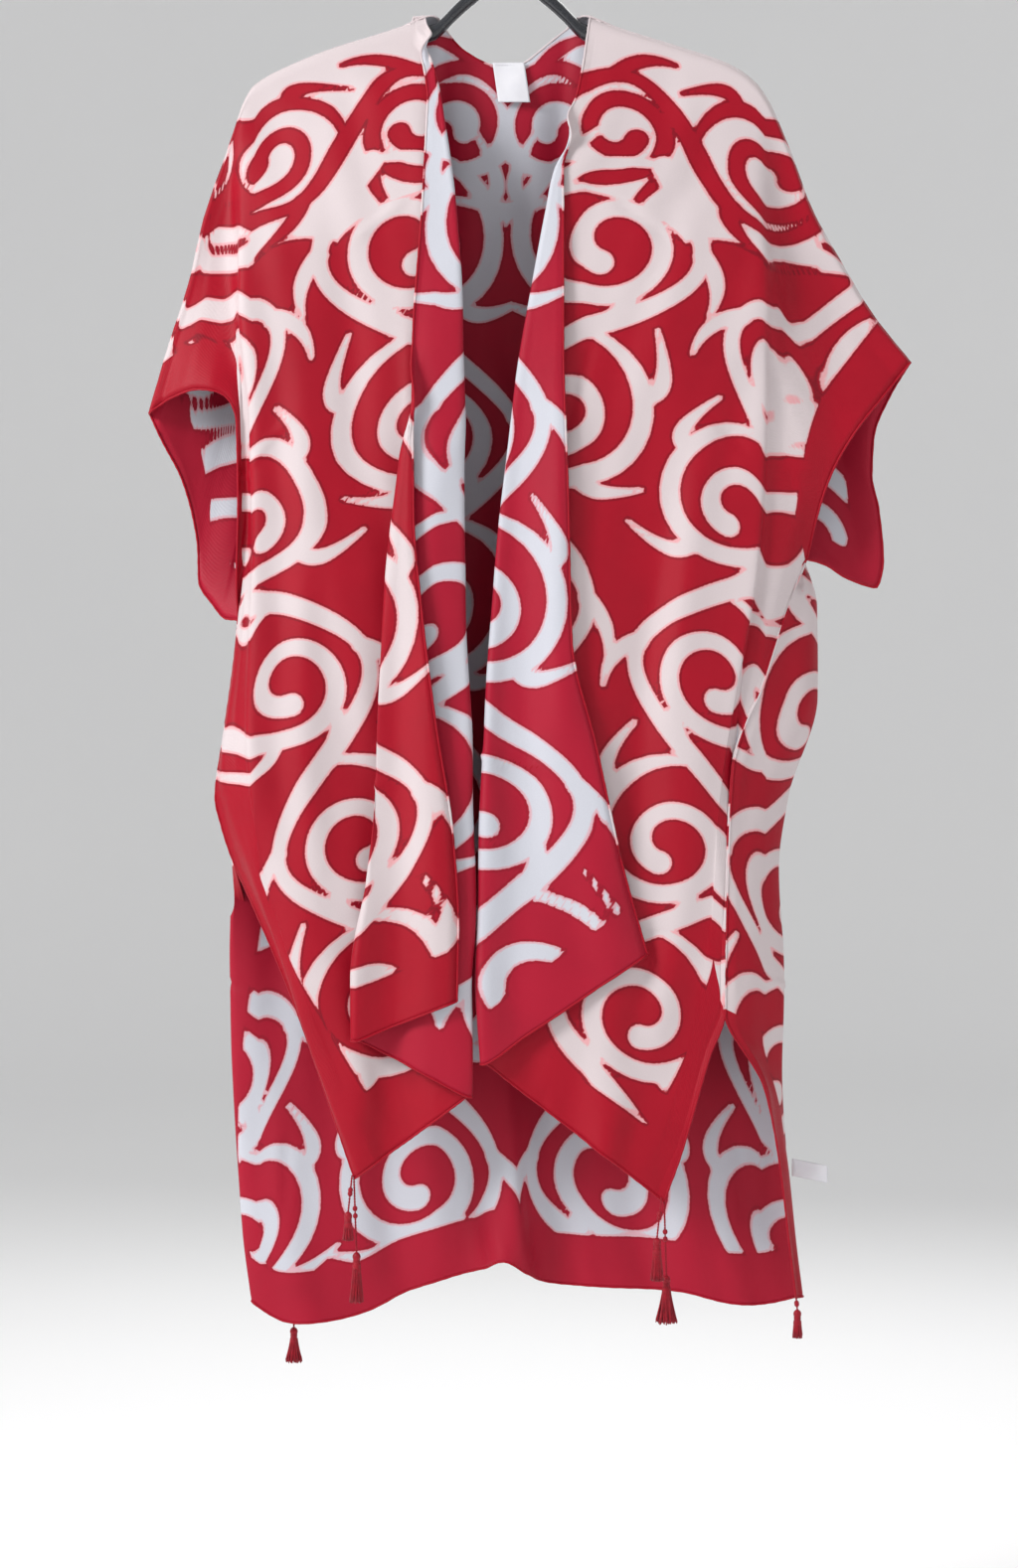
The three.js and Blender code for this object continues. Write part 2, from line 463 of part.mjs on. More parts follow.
// Direction across the cloth at each point of a grid
function gridNormals(grid) {
  const rows = grid.length;
  const cols = grid[0].length;
  const vec = (p) => new THREE.Vector3(p.x, p.y, p.z);
  return grid.map((row, i) => row.map((point, j) => {
    const left = vec(grid[i][Math.max(0, j - 1)]);
    const right = vec(grid[i][Math.min(cols - 1, j + 1)]);
    const up = vec(grid[Math.max(0, i - 1)][j]);
    const down = vec(grid[Math.min(rows - 1, i + 1)][j]);
    return right.sub(left).cross(down.sub(up)).normalize();
  }));
}

// Closed wall of cloth about a grid
function cloth(name, { grid, seams }, wall, material) {
  const rows = grid.length;
  const cols = grid[0].length;
  const normals = gridNormals(grid);
  for (let i = 0; i < rows; i += 1) {
    const onSeam = (seam) => seam && ROWS[i] >= seam.from - 1e-6 && ROWS[i] <= seam.to + 1e-6;
    if (onSeam(seams.first)) normals[i][0][seams.first.axis] = 0;
    if (onSeam(seams.last)) normals[i][cols - 1][seams.last.axis] = 0;
    if (i === 0 && seams.top) {
      normals[i].filter((n, j) => Math.abs(grid[0][j].y) < 0.5).forEach((n) => { n.y = 0; });
    }
    normals[i].forEach((n) => n.normalize());
  }
  const position = [];
  const index = [];
  const sides = [0.5, -0.5];
  sides.forEach((side) => grid.forEach((row, i) => row.forEach((p, j) => {
    const n = normals[i][j];
    position.push(p.x + n.x * wall * side, p.y + n.y * wall * side, p.z + n.z * wall * side);
  })));
  const id = (face, i, j) => face * rows * cols + i * cols + j;
  const quad = (a, b, c, d) => index.push(a, b, c, a, c, d);
  for (let i = 0; i < rows - 1; i += 1) {
    for (let j = 0; j < cols - 1; j += 1) {
      quad(id(0, i, j), id(0, i, j + 1), id(0, i + 1, j + 1), id(0, i + 1, j));
      quad(id(1, i, j), id(1, i + 1, j), id(1, i + 1, j + 1), id(1, i, j + 1));
    }
    quad(id(0, i, 0), id(0, i + 1, 0), id(1, i + 1, 0), id(1, i, 0));
    quad(id(0, i, cols - 1), id(1, i, cols - 1), id(1, i + 1, cols - 1), id(0, i + 1, cols - 1));
  }
  for (let j = 0; j < cols - 1; j += 1) {
    quad(id(0, 0, j), id(1, 0, j), id(1, 0, j + 1), id(0, 0, j + 1));
    quad(id(0, rows - 1, j), id(0, rows - 1, j + 1), id(1, rows - 1, j + 1), id(1, rows - 1, j));
  }
  return solid(name, position, index, material);
}

// Triangles turned to face out, by the sign of the volume that they close
function facingOut(position, index) {
  let volume = 0;
  const turned = [];
  const at = (i) => new THREE.Vector3(...position.slice(3 * i, 3 * i + 3));
  for (let k = 0; k < index.length; k += 3) {
    const [a, b, c] = index.slice(k, k + 3);
    volume += at(a).dot(at(b).cross(at(c)));
    turned.push(a, c, b);
  }
  return volume < 0 ? turned : index;
}

function solid(name, position, index, material) {
  const geometry = new THREE.BufferGeometry();
  geometry.setAttribute('position', new THREE.Float32BufferAttribute(position, 3));
  geometry.setIndex(facingOut(position, index));
  geometry.computeVertexNormals();
  const mesh = new THREE.Mesh(geometry, material);
  mesh.name = name;
  return mesh;
}

// Closed tube of elliptic sections: each section has a centre, two half sizes and two directions
function loft(sections, sides) {
  const position = [];
  const index = [];
  sections.forEach(({ at, across, up }) => {
    for (let k = 0; k < sides; k += 1) {
      const a = (2 * Math.PI * k) / sides;
      const p = at.clone().addScaledVector(across, Math.cos(a)).addScaledVector(up, Math.sin(a));
      position.push(p.x, p.y, p.z);
    }
  });
  for (let i = 0; i < sections.length - 1; i += 1) {
    for (let k = 0; k < sides; k += 1) {
      const next = (k + 1) % sides;
      const a = i * sides + k;
      const b = i * sides + next;
      index.push(a, b, b + sides, a, b + sides, a + sides);
    }
  }
  const cap = (ring, reverse) => {
    for (let k = 1; k < sides - 1; k += 1) {
      const tri = [ring * sides, ring * sides + k, ring * sides + k + 1];
      index.push(...(reverse ? [tri[0], tri[2], tri[1]] : tri));
    }
  };
  cap(0, true);
  cap(sections.length - 1, false);
  return { position, index };
}

function asManifold({ position, index }) {
  return new wasm.Manifold(new wasm.Mesh({ numProp: 3, vertProperties: new Float32Array(position),
    triVerts: new Uint32Array(facingOut(position, index)) }));
}

function joined(name, pieces, material) {
  const whole = pieces.map(asManifold).reduce((sum, piece) => sum.add(piece));
  const mesh = whole.getMesh();
  return solid(name, [...mesh.vertProperties], [...mesh.triVerts], material);
}

// Round tube along points, with a radius at each
function tube(points, sides) {
  const sections = points.map((point, i) => {
    const before = points[Math.max(0, i - 1)];
    const after = points[Math.min(points.length - 1, i + 1)];
    const run = new THREE.Vector3(after.x - before.x, after.y - before.y, after.z - before.z).normalize();
    const side = Math.abs(run.y) > 0.9 ? new THREE.Vector3(1, 0, 0) : new THREE.Vector3(0, 1, 0);
    const up = side.clone().cross(run).normalize();
    const across = run.clone().cross(up).normalize();
    return { at: new THREE.Vector3(point.x, point.y, point.z),
      across: across.multiplyScalar(point.r), up: up.multiplyScalar(point.r) };
  });
  return loft(sections, sides);
}

function hanger() {
  const inner = [{ x: 0, z: -71 }, { x: 14, z: -77 }, { x: 28, z: -87 }, { x: 46, z: -103.5 }];
  const under = ARM_HALF_Z + ARM_CLEAR + WALL / 2;
  const sag = (q) => (q < 66 ? 5.6 : 0.3 + 2.6 * ease((q - 130) / 50));
  const half = (sg) => [...inner.slice(sg < 0 ? 0 : 1).map((row) => ({ x: sg * row.x, z: row.z, k: 1 })),
    ...[62, 84, 110, 130, 149, 170, 186, 197, 202].map((q) => ({ x: sg * q,
      z: shoulderHeight(sg * q) - under - sag(q), k: 1 })),
    { x: sg * 206, z: shoulderHeight(sg * 206) - under - sag(206) - 0.6, k: 0.8 },
    { x: sg * 208.5, z: shoulderHeight(sg * 208.5) - under - sag(206) - 1.2, k: 0.45 }];
  const line = [...half(-1).reverse(), ...half(1)];
  const arms = loft(line.map(({ x, z, k }) => ({ at: new THREE.Vector3(x, 0, z),
    across: new THREE.Vector3(0, ARM_HALF_Y * k, 0), up: new THREE.Vector3(0, 0, ARM_HALF_Z * k) })), 10);
  const centreZ = HOOK_WIRE - HOOK_BEND;
  const route = [{ x: 0, z: -70 }, { x: 0, z: -60 }, { x: 1, z: -54 }, { x: 5, z: -47 },
    { x: 11.5, z: centreZ - 19.5 }, { x: 17.5, z: centreZ - 13.4 }, { x: 21, z: centreZ - 6.5 }];
  for (let a = 0; a <= 200; a += 20) {
    const rad = (a * Math.PI) / 180;
    route.push({ x: HOOK_BEND * Math.cos(rad), z: centreZ + HOOK_BEND * Math.sin(rad) });
  }
  const hook = tube(route.map(({ x, z }) => ({ x, y: 0, z, r: HOOK_WIRE })), 8);
  const boss = tube([{ x: 0, y: 0, z: -74, r: 8.5 }, { x: 0, y: 0, z: -66, r: 7.5 },
    { x: 0, y: 0, z: -60, r: 4.6 }], 12);
  return joined('hanger', [arms, hook, boss], BLACK_PLASTIC);
}

function tassel({ name, x, y, z, leanX, leanY, cord, skirt, wide }) {
  const at = (dz, r) => {
    const f = Math.min(1, -dz / cord);
    return { x: x + leanX * f, y: y + leanY * f, z: z + dz, r };
  };
  const head = 11;
  const yarn = tube([at(0, 1), at(-cord - 1, 1)], 5);
  const knot = tube([at(-cord * 0.45 + 2, 1), at(-cord * 0.45, 2.2), at(-cord * 0.45 - 2, 1)], 6);
  const top = tube([at(-cord + 0.5, 1.2), at(-cord - 2, 3.4), at(-cord - 5, 3.2), at(-cord - 7, 2.4),
    at(-cord - head, 3.6), at(-cord - head - 3, 3.4)], 8);
  const strands = [];
  for (let i = 0; i < STRANDS; i += 1) {
    const ring = i < 4 ? 0.32 : 0.82;
    const a = i < 4 ? (2 * Math.PI * i) / 4 : (2 * Math.PI * (i - 4)) / (STRANDS - 4);
    const out = (r) => ({ x: x + leanX + r * Math.cos(a), y: y + leanY + r * Math.sin(a) });
    const drop = skirt - 3 * ((i * 7) % 3) / 2;
    strands.push(tube([{ ...out(2.6 * ring), z: z - cord - head + 1, r: 0.5 },
      { ...out(wide * ring), z: z - cord - drop, r: 0.6 }], 3));
  }
  return joined(name, [yarn, knot, top, ...strands], TASSEL_YARN);
}

// Label hanging before the back's inner face, below the neck edge
function neckLabel(back) {
  const rows = 5;
  const cols = 4;
  const grid = [];
  for (let i = 0; i <= rows; i += 1) {
    const row = [];
    for (let j = 0; j <= cols; j += 1) {
      const z = LABEL_TOP - (LABEL_HEIGHT * i) / rows;
      const x = -14 + (LABEL_WIDTH * j) / cols + 5 * (i / rows);
      const bow = 1.5 * Math.sin((Math.PI * i) / rows / 2);
      row.push({ x, y: neckFace(back, x, z) - WALL / 2 - 0.4 - LABEL_WALL / 2 - bow, z });
    }
    grid.push(row);
  }
  return cloth('neck_label', { grid, seams: {} }, LABEL_WALL, LABEL_CLOTH);
}

// The back's y nearest a place near the neck
function neckFace(back, x, z) {
  let best = 1e9;
  let y = LABEL_FACE;
  back.grid.forEach((row) => row.forEach((p) => {
    const d = Math.hypot(p.x - x, p.z - z);
    if (d < 24 && p.y < best) {
      best = p.y;
      y = p.y;
    }
  }));
  return y;
}

function careLabel() {
  const grid = [];
  for (let i = 0; i <= 2; i += 1) {
    const row = [];
    for (let j = 0; j <= 4; j += 1) {
      row.push({ x: 240.7 + 7.6 * j, y: 19 + 1.2 * Math.sin(j), z: -1074 - 7.5 * i - 1.6 * j });
    }
    grid.push(row);
  }
  return cloth('care_label', { grid, seams: {} }, LABEL_WALL, LABEL_CLOTH);
}

const kimono = new THREE.Group();
const back = backGrid();
kimono.add(
  hanger(),
  cloth('back', back, WALL, PANEL_CLOTH),
  cloth('front_left', frontGrid('left'), WALL, PANEL_CLOTH),
  cloth('front_right', frontGrid('right'), WALL, PANEL_CLOTH),
  neckLabel(back),
  careLabel(),
  ...TASSELS.map(tassel),
);

export default kimono;
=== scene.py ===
"""Looks for the beach kimono on its hanger: printed cloth, hems, labels, tassels and hanger.

Sizes are in millimetres until a mesh is made, and the frame is in metres. The front faces -Y,
and left and right are as seen from the front. The tables repeat those of the solids.
"""
import math
import bpy
import numpy as np
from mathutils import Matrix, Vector


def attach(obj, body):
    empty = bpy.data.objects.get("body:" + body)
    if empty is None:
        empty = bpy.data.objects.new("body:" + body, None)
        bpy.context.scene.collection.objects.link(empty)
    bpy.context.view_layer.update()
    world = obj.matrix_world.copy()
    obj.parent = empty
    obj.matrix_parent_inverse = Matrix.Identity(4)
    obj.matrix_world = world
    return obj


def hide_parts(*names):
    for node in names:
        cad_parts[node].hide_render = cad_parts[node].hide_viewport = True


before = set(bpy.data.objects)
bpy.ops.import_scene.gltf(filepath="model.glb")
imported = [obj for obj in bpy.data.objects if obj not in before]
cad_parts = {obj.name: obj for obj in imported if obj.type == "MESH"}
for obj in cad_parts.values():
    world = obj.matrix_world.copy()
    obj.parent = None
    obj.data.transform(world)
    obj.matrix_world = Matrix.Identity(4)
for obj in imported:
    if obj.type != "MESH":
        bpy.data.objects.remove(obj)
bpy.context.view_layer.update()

MM = 0.001
SEAM = 0.3
ARM_HALF_Y, ARM_HALF_Z, ARM_CLEAR, ROLL = 6.5, 7.0, 1.4, 8.1
WALL = 1.6
FRONT_DEPTH, BACK_DEPTH, DROP_IN = 36.0, 36.0, 170.0
HOOK_WIRE, HOOK_BEND = 3.0, 22.0
SHOULDER_END = 215.0    # where the sleeve begins to hang from the shoulder line
CLOTH_HALF = 0.25       # half thickness of the cloth that shows
ROW_STEP = 0.0046       # fine rows, as a share of the panel's length
COLUMN_STEP = 4.2       # usual width of a fine column
HEM_SIDES = 8           # sides of a rolled hem's bead
FAR_FROM_RIM = 400.0    # distance to a rim where the print has no plain border
LABEL_HALF = 0.28       # half thickness of a label
YARNS = 150             # yarns in a tassel's skirt
HEAD = 11               # length of a tassel's head
FLOOR_Z, WALL_RADIUS, WALL_BEND, WALL_TOP = -1.62, 9.5, 3.0, 5.0    # metres
BORDER = 44.0           # plain border at hems and cuffs
RANDOM = np.random.default_rng(7)

ROWS = [0, 0.0015, 0.005, 0.0106, 0.02, 0.035, 0.055, 0.075, 0.1, 0.125, 0.15, 0.19, 0.23, 0.27,
        0.31, 0.35, 0.39, 0.43, 0.47, 0.52, 0.57, 0.62, 0.67, 0.72, 0.78, 0.84, 0.9, 0.95, 1]

# The shoulder seam from the neck to the sleeve's tip: x, z
SHOULDER = {
    "left": [(-64, -106), (-110, -122), (-149, -134), (-186, -149), (-210, -162), (-222, -177),
             (-228, -199), (-241, -231), (-255, -271), (-267, -323), (-285, -379), (-304, -442)],
    "right": [(62, -106), (103, -120), (148, -134), (187, -148), (206, -161), (217, -175),
              (226, -192), (240, -228), (257, -273), (291, -332), (320, -378), (339, -399)],
}
# Lines down each front: share of the way to the hem, then x, z or x, y, z
FRONT = {
    "left": {
        "side": -1,
        "edge": [(0, -64, -106), (0.07, -67, -160), (0.2, -72, -270), (0.36, -80, -400),
                 (0.52, -79, -532), (0.62, -72, -614), (0.72, -61, -702), (0.84, -46, -802),
                 (0.92, -42, -870), (1, -43, -935)],
        "fold_out": [(0, -68, -107), (0.36, -80, -412), (0.44, -91, -484), (0.56, -103, -590),
                     (0.68, -111, -700), (0.84, -118, -836), (0.93, -129, -912), (1, -130, -968)],
        "fold_in": [(0, -86, -114), (0.012, -84, -125), (0.05, -61, -158), (0.1, -54, -203),
                    (0.2, -43, -288), (0.29, -38, -370), (0.54, -36, -600), (0.72, -31, -764),
                    (1, -29, -1015)],
        "body": [(0, -217, -169), (0.035, -224, -202), (0.075, -225, -238), (0.19, -222, -342),
                 (0.31, -213, -450), (0.43, -212, -560), (0.57, -215, -690), (0.67, -211, -780),
                 (0.78, -188, -878), (0.9, -146, -984), (1, -111, -1072)],
        "rim": [(0, -304, -SEAM, -442), (0.03, -284, -11, -430), (0.07, -262, -20, -424),
                (0.1, -246, -24, -426), (0.125, -234, -24, -434), (0.15, -228, -24, -452),
                (0.23, -227, -22, -520), (0.31, -229, -14, -590), (0.35, -229, -SEAM, -617),
                (0.39, -232, -SEAM, -649), (0.47, -241, -SEAM, -714), (0.53, -248, -SEAM, -766),
                (0.57, -243, -SEAM, -790), (0.62, -232, -SEAM, -823), (0.67, -214, -14, -860),
                (0.78, -184, -25, -928), (0.9, -153, -28, -1015), (1, -129, -30, -1085)],
        "seam": (0.35, 0.62), "lapel_turn": (0.012, 0.055), "edge_turn": (0.34, 0.44), "step": 16,
    },
    "right": {
        "side": 1,
        "edge": [(0, 62, -106), (0.1, 49, -186), (0.15, 45, -228), (0.35, 45, -383),
                 (0.52, 49, -515), (0.67, 52, -636), (0.78, 72, -722), (0.9, 93, -818),
                 (1, 115, -897)],
        "fold_in": [(0, 80, -112), (0.09, 68, -190), (0.105, 62, -204), (0.15, 38, -243),
                    (0.19, 31, -279), (0.27, 17, -350), (0.35, 5, -420), (0.43, -4, -490),
                    (0.52, -11, -569), (0.67, -19, -700), (0.84, -24, -848), (1, -25, -988)],
        "body": [(0, 214, -171), (0.055, 211, -222), (0.15, 211, -310), (0.31, 211, -450),
                 (0.43, 206, -560), (0.57, 186, -690), (0.67, 172, -780), (0.78, 165, -880),
                 (0.9, 145, -985), (1, 112, -1090)],
        "rim": [(0, 339, -SEAM, -399), (0.055, 314, -11, -430), (0.1, 291, -15, -459),
                (0.15, 273, -15, -490), (0.19, 263, -14, -516), (0.23, 256, -11, -543),
                (0.27, 251, -7, -566), (0.31, 236, -14, -602), (0.35, 223, -20, -640),
                (0.39, 211, -25, -676), (0.43, 197, -29, -706), (0.47, 187, -31, -740),
                (0.57, 183, -33, -806), (0.67, 181, -34, -868), (0.78, 180, -34, -946),
                (0.84, 167, -34, -984), (0.95, 143, -34, -1066), (1, 129, -34, -1104)],
        "seam": (0.27, 0.78), "lapel_turn": (0.095, 0.15), "edge_turn": (2, 3), "step": 8,
    },
}
BACK = {
    "left": {
        "rim": [(0, -304, SEAM, -442), (0.035, -294, 9, -464), (0.1, -278, 17, -496),
                (0.15, -269, 21, -528), (0.19, -265, 22, -554), (0.23, -264, 20, -582),
                (0.27, -252, 14, -602), (0.31, -240, 7, -615), (0.35, -229, SEAM, -617),
                (0.39, -232, SEAM, -649), (0.47, -241, SEAM, -714), (0.53, -248, SEAM, -766),
                (0.57, -243, SEAM, -790), (0.62, -232, SEAM, -823), (0.67, -224, 28, -866),
                (0.72, -215, 46, -920), (0.84, -203, 56, -1045), (1, -186, 60, -1213)],
        "turn": [(0, -218, SEAM, -171), (0.075, -224, 24, -240), (0.19, -220, 32, -345),
                 (0.31, -214, 34, -480), (0.39, -218, 30, -600), (0.47, -230, 20, -700),
                 (0.57, -236, 16, -790), (0.62, -234, 18, -836), (0.72, -236, 34, -930),
                 (0.84, -234, 38, -1050), (0.95, -229, 40, -1140), (1, -223, 40, -1199)],
    },
    "right": {
        "rim": [(0, 339, SEAM, -399), (0.055, 322, 10, -428), (0.1, 310, 18, -462),
                (0.125, 309, 22, -492), (0.15, 315, 24, -520), (0.19, 319, 24, -565),
                (0.21, 312, 20, -588), (0.23, 288, 12, -581), (0.25, 266, 2, -569),
                (0.27, 251, -7, -566), (0.31, 236, -14, -602), (0.35, 223, -20, -640),
                (0.39, 211, -25, -676), (0.43, 197, -29, -706), (0.47, 187, -31, -740),
                (0.57, 183, -33, -806), (0.67, 181, -34, -868), (0.78, 180, -34, -946),
                (0.84, 214, -24, -1010), (0.9, 229, -6, -1080), (0.95, 237, 6, -1140),
                (1, 244, 14, -1192)],
        "turn": [(0, 215, SEAM, -172), (0.055, 212, 22, -240), (0.15, 214, 34, -370),
                 (0.23, 226, 34, -480), (0.27, 244, 26, -545), (0.31, 262, 12, -602),
                 (0.39, 262, 8, -682), (0.47, 239, 4, -765), (0.55, 231, 2, -825),
                 (0.67, 234, 2, -905), (0.78, 234, 6, -985), (0.84, 236, 14, -1050),
                 (0.9, 241, 22, -1105), (1, 249, 28, -1193)],
    },
    "neck": [(-64, SEAM, -106), (-59, 11, -109), (-46, 12, -126), (-30, 12, -138),
             (-14, 12, -145), (0, 12, -147), (14, 12, -142), (29, 12, -130), (44, 12, -118),
             (57, 11, -109), (62, SEAM, -106)],
    "hem": [(-223, -1199), (-201, -1213), (-181, -1216), (-136, -1212), (-99, -1195),
            (-59, -1181), (-18, -1168), (2, -1160), (16, -1174), (37, -1183), (70, -1186),
            (144, -1189), (187, -1199), (208, -1202), (249, -1193)],
}
# Tassels: name, cord's start x y z, lean x y, cord length, skirt length, skirt radius
TASSELS = [
    ("tassel_front_left_upper", -131, -31.9, -1082, -3, -6, 30, 24, 5),
    ("tassel_front_left_lower", -129.5, -30, -1085.4, 2, 3, 62, 42, 6.5),
    ("tassel_front_right_upper", 127, -36.6, -1100, -4, -6, 33, 36, 6),
    ("tassel_front_right_lower", 129.5, -34, -1104.4, 2, 5, 62, 40, 10),
    ("tassel_back_left", -186, 60, -1213.4, 0, 0, 12, 30, 8),
    ("tassel_back_right", 244, 14, -1192.4, 1, 0, 10, 24, 4.5),
]


def clamp01(v):
    return min(1.0, max(0.0, v))


def ease(v):
    c = clamp01(v)
    return c * c * (3 - 2 * c)


def mix(a, b, f):
    return a + (b - a) * f


def along(keys, values, k):
    """Smooth curve through values at keys, with no overshoot."""
    n = len(keys)
    if k <= keys[0]:
        return values[0]
    if k >= keys[-1]:
        return values[-1]
    i = 0
    while keys[i + 1] < k:
        i += 1

    def slope(a):
        return (values[a + 1] - values[a]) / (keys[a + 1] - keys[a])

    def tangent(a):
        if a == 0:
            return slope(0)
        if a == n - 1:
            return slope(n - 2)
        before, after = slope(a - 1), slope(a)
        return 0.0 if before * after <= 0 else 2 * before * after / (before + after)

    h = keys[i + 1] - keys[i]
    f = (k - keys[i]) / h
    f2, f3 = f * f, f * f * f
    return ((2 * f3 - 3 * f2 + 1) * values[i] + (f3 - 2 * f2 + f) * h * tangent(i)
            + (3 * f2 - 2 * f3) * values[i + 1] + (f3 - f2) * h * tangent(i + 1))


def column(rows, n):
    return [row[n] for row in rows]


def at(rows, n, t):
    return along(column(rows, 0), column(rows, n), t)


def shares(rows):
    """Share of the length run at each row of (x, z) or (x, y, z), by x and z."""
    run, out = 0.0, [0.0]
    for a, b in zip(rows, rows[1:]):
        run += math.hypot(b[0] - a[0], b[-1] - a[-1])
        out.append(run)
    return [v / run for v in out]


def shoulder_height(x):
    rows = SHOULDER["left" if x < 0 else "right"]
    return along([abs(r[0]) for r in rows], column(rows, 1), abs(x))


def shoulder_stretch(rows, from_x, to_x):
    s = shares(rows)

    def place(x):
        i = 0
        while i < len(rows) - 2 and abs(rows[i + 1][0]) < abs(x):
            i += 1
        return mix(s[i], s[i + 1], (x - rows[i][0]) / (rows[i + 1][0] - rows[i][0]))

    s0, s1 = place(from_x), place(to_x)
    xs, zs = column(rows, 0), column(rows, 1)
    return lambda f: (along(s, xs, mix(s0, s1, f)), along(s, zs, mix(s0, s1, f)))


def stand_off(d, depth):
    reach = ARM_HALF_Y + ARM_CLEAR
    round_it = reach * math.sqrt(1 - (1 - d / ROLL) ** 2) if d < ROLL else reach
    return round_it + (depth - reach) * ease((d - ROLL) / DROP_IN)


def spread(t, y):
    if t >= 0.03:
        return y
    return max(y, min(6, stand_off(t * 800, ARM_HALF_Y + ARM_CLEAR)), 0 if t else SEAM)


def front_ripple(x, z):
    grow = ease((-z - 200) / 500)
    return grow * (3.2 * math.sin(x / 17 + z / 420) + 1.6 * math.sin(x / 8.3 - z / 300 + 1))


def back_ripple(x, z):
    grow = ease((-z - 220) / 700)
    centre = -15 * ease((-z - 820) / 340) * math.exp(-((x - 3) / 17) ** 2)
    return centre + grow * (7 * math.sin(x / 26 + z / 600 + 0.6) + 2.5 * math.sin(x / 11 - z / 250))


def front_row(name, t):
    """One row of a front, from the opening edge to the rim."""
    spec, top = FRONT[name], SHOULDER[name]
    sg = spec["side"]
    radius = mix(1.5, 4.6, ease((t - 0.05) / 0.5))
    bend = math.pi * radius
    lapel, rolled = spec["lapel_turn"], spec["edge_turn"]
    turn_in = math.pi * ease((t - lapel[0]) / (lapel[1] - lapel[0]))
    shut = ease((t - rolled[0]) / (rolled[1] - rolled[0]))
    folded = "fold_out" in spec
    q_edge, z_edge = sg * at(spec["edge"], 1, t), at(spec["edge"], 2, t)
    q_in, z_in = sg * at(spec["fold_in"], 1, t), at(spec["fold_in"], 2, t)
    z_out, strip = z_edge, 0.0
    if folded:
        q_out, z_out = sg * at(spec["fold_out"], 1, t), at(spec["fold_out"], 2, t)
        strip = max(4, mix(4, q_out - radius - q_edge, shut))
        loose = q_edge - q_in - radius - bend - strip
        flap = max(2.5, mix(loose, q_out - q_in - 2 * radius, shut))
    else:
        flap = max(8, q_edge - q_in - radius)
    points = []
    q, p, heading = q_in + radius, 0.0, 0.0

    def walk(length, turn, parts, z_from, z_to):
        nonlocal q, p, heading
        for i in range(1, parts + 1):
            mid = heading + turn / parts / 2
            q -= math.cos(mid) * length / parts
            p += math.sin(mid) * length / parts
            heading += turn / parts
            points.append((q, p, mix(z_from, z_to, i / parts)))

    walk(bend, turn_in, 4, z_in, z_in)
    walk(flap, 0, 3 if folded else 5, z_in, z_out)
    if folded:
        walk(bend, -math.pi * shut, 4, z_out, z_out)
        walk(strip, 0, 3, z_out, z_edge)
    row = []
    for q, p, z in reversed(points):
        x = sg * q
        away = max(0, shoulder_height(x) - z)
        row.append((x, min(-SEAM, -(stand_off(away, FRONT_DEPTH) + p) - front_ripple(x, z)), z))
    body_x, body_z = at(spec["body"], 1, t), at(spec["body"], 2, t)
    body0, rim0 = spec["body"][0], spec["rim"][0]
    inner0 = (spec["fold_in"][0][1] + sg * 1.5, spec["fold_in"][0][2])
    line_top = shoulder_stretch(top, inner0[0], body0[1])
    keep = 1 - ease(t / 0.3)
    main = 8
    for i in range(main + 1):
        f = i / main
        fx, fz = line_top(f)
        x = mix(sg * (q_in + radius), body_x, f) + keep * (fx - mix(inner0[0], body0[1], f))
        z = mix(z_in, body_z, f) + keep * (fz - mix(inner0[1], body0[2], f))
        last = i == main
        d = max(0, (body0[2] if last else shoulder_height(x)) - z)
        y = -stand_off(d, FRONT_DEPTH) - front_ripple(x, z) * (0.4 if last else 1)
        row.append((x, min(-SEAM, y), z))
    rim = (at(spec["rim"], 1, t), -spread(t, -at(spec["rim"], 2, t)), at(spec["rim"], 3, t))
    body_y = row[-1][1]
    outer = shoulder_stretch(top, body0[1], rim0[1])
    out = 5
    step_back = spec["step"] * ease(t / 0.12) * (1 - ease((t - 0.5) / 0.2))
    seamed = spec["seam"][0] - 1e-6 <= t <= spec["seam"][1] + 1e-6
    for i in range(1, out + 1):
        f = i / out
        fx, fz = outer(f)
        x = mix(body_x, rim[0], f) + keep * (fx - mix(body0[1], rim0[1], f))
        z = mix(body_z, rim[2], f) + keep * (fz - mix(body0[2], rim0[3], f))
        shoulder_y = min(-SEAM, body_y + step_back * ease(f * 3))
        y = mix(rim[1], shoulder_y, math.sqrt(max(0, 1 - f * f)))
        row.append((x, rim[1] if i == out else min(-SEAM, y), z))
    if seamed and sg > 0:
        row[-1] = (row[-1][0] - 2 * SEAM, row[-1][1], row[-1][2])
    return row


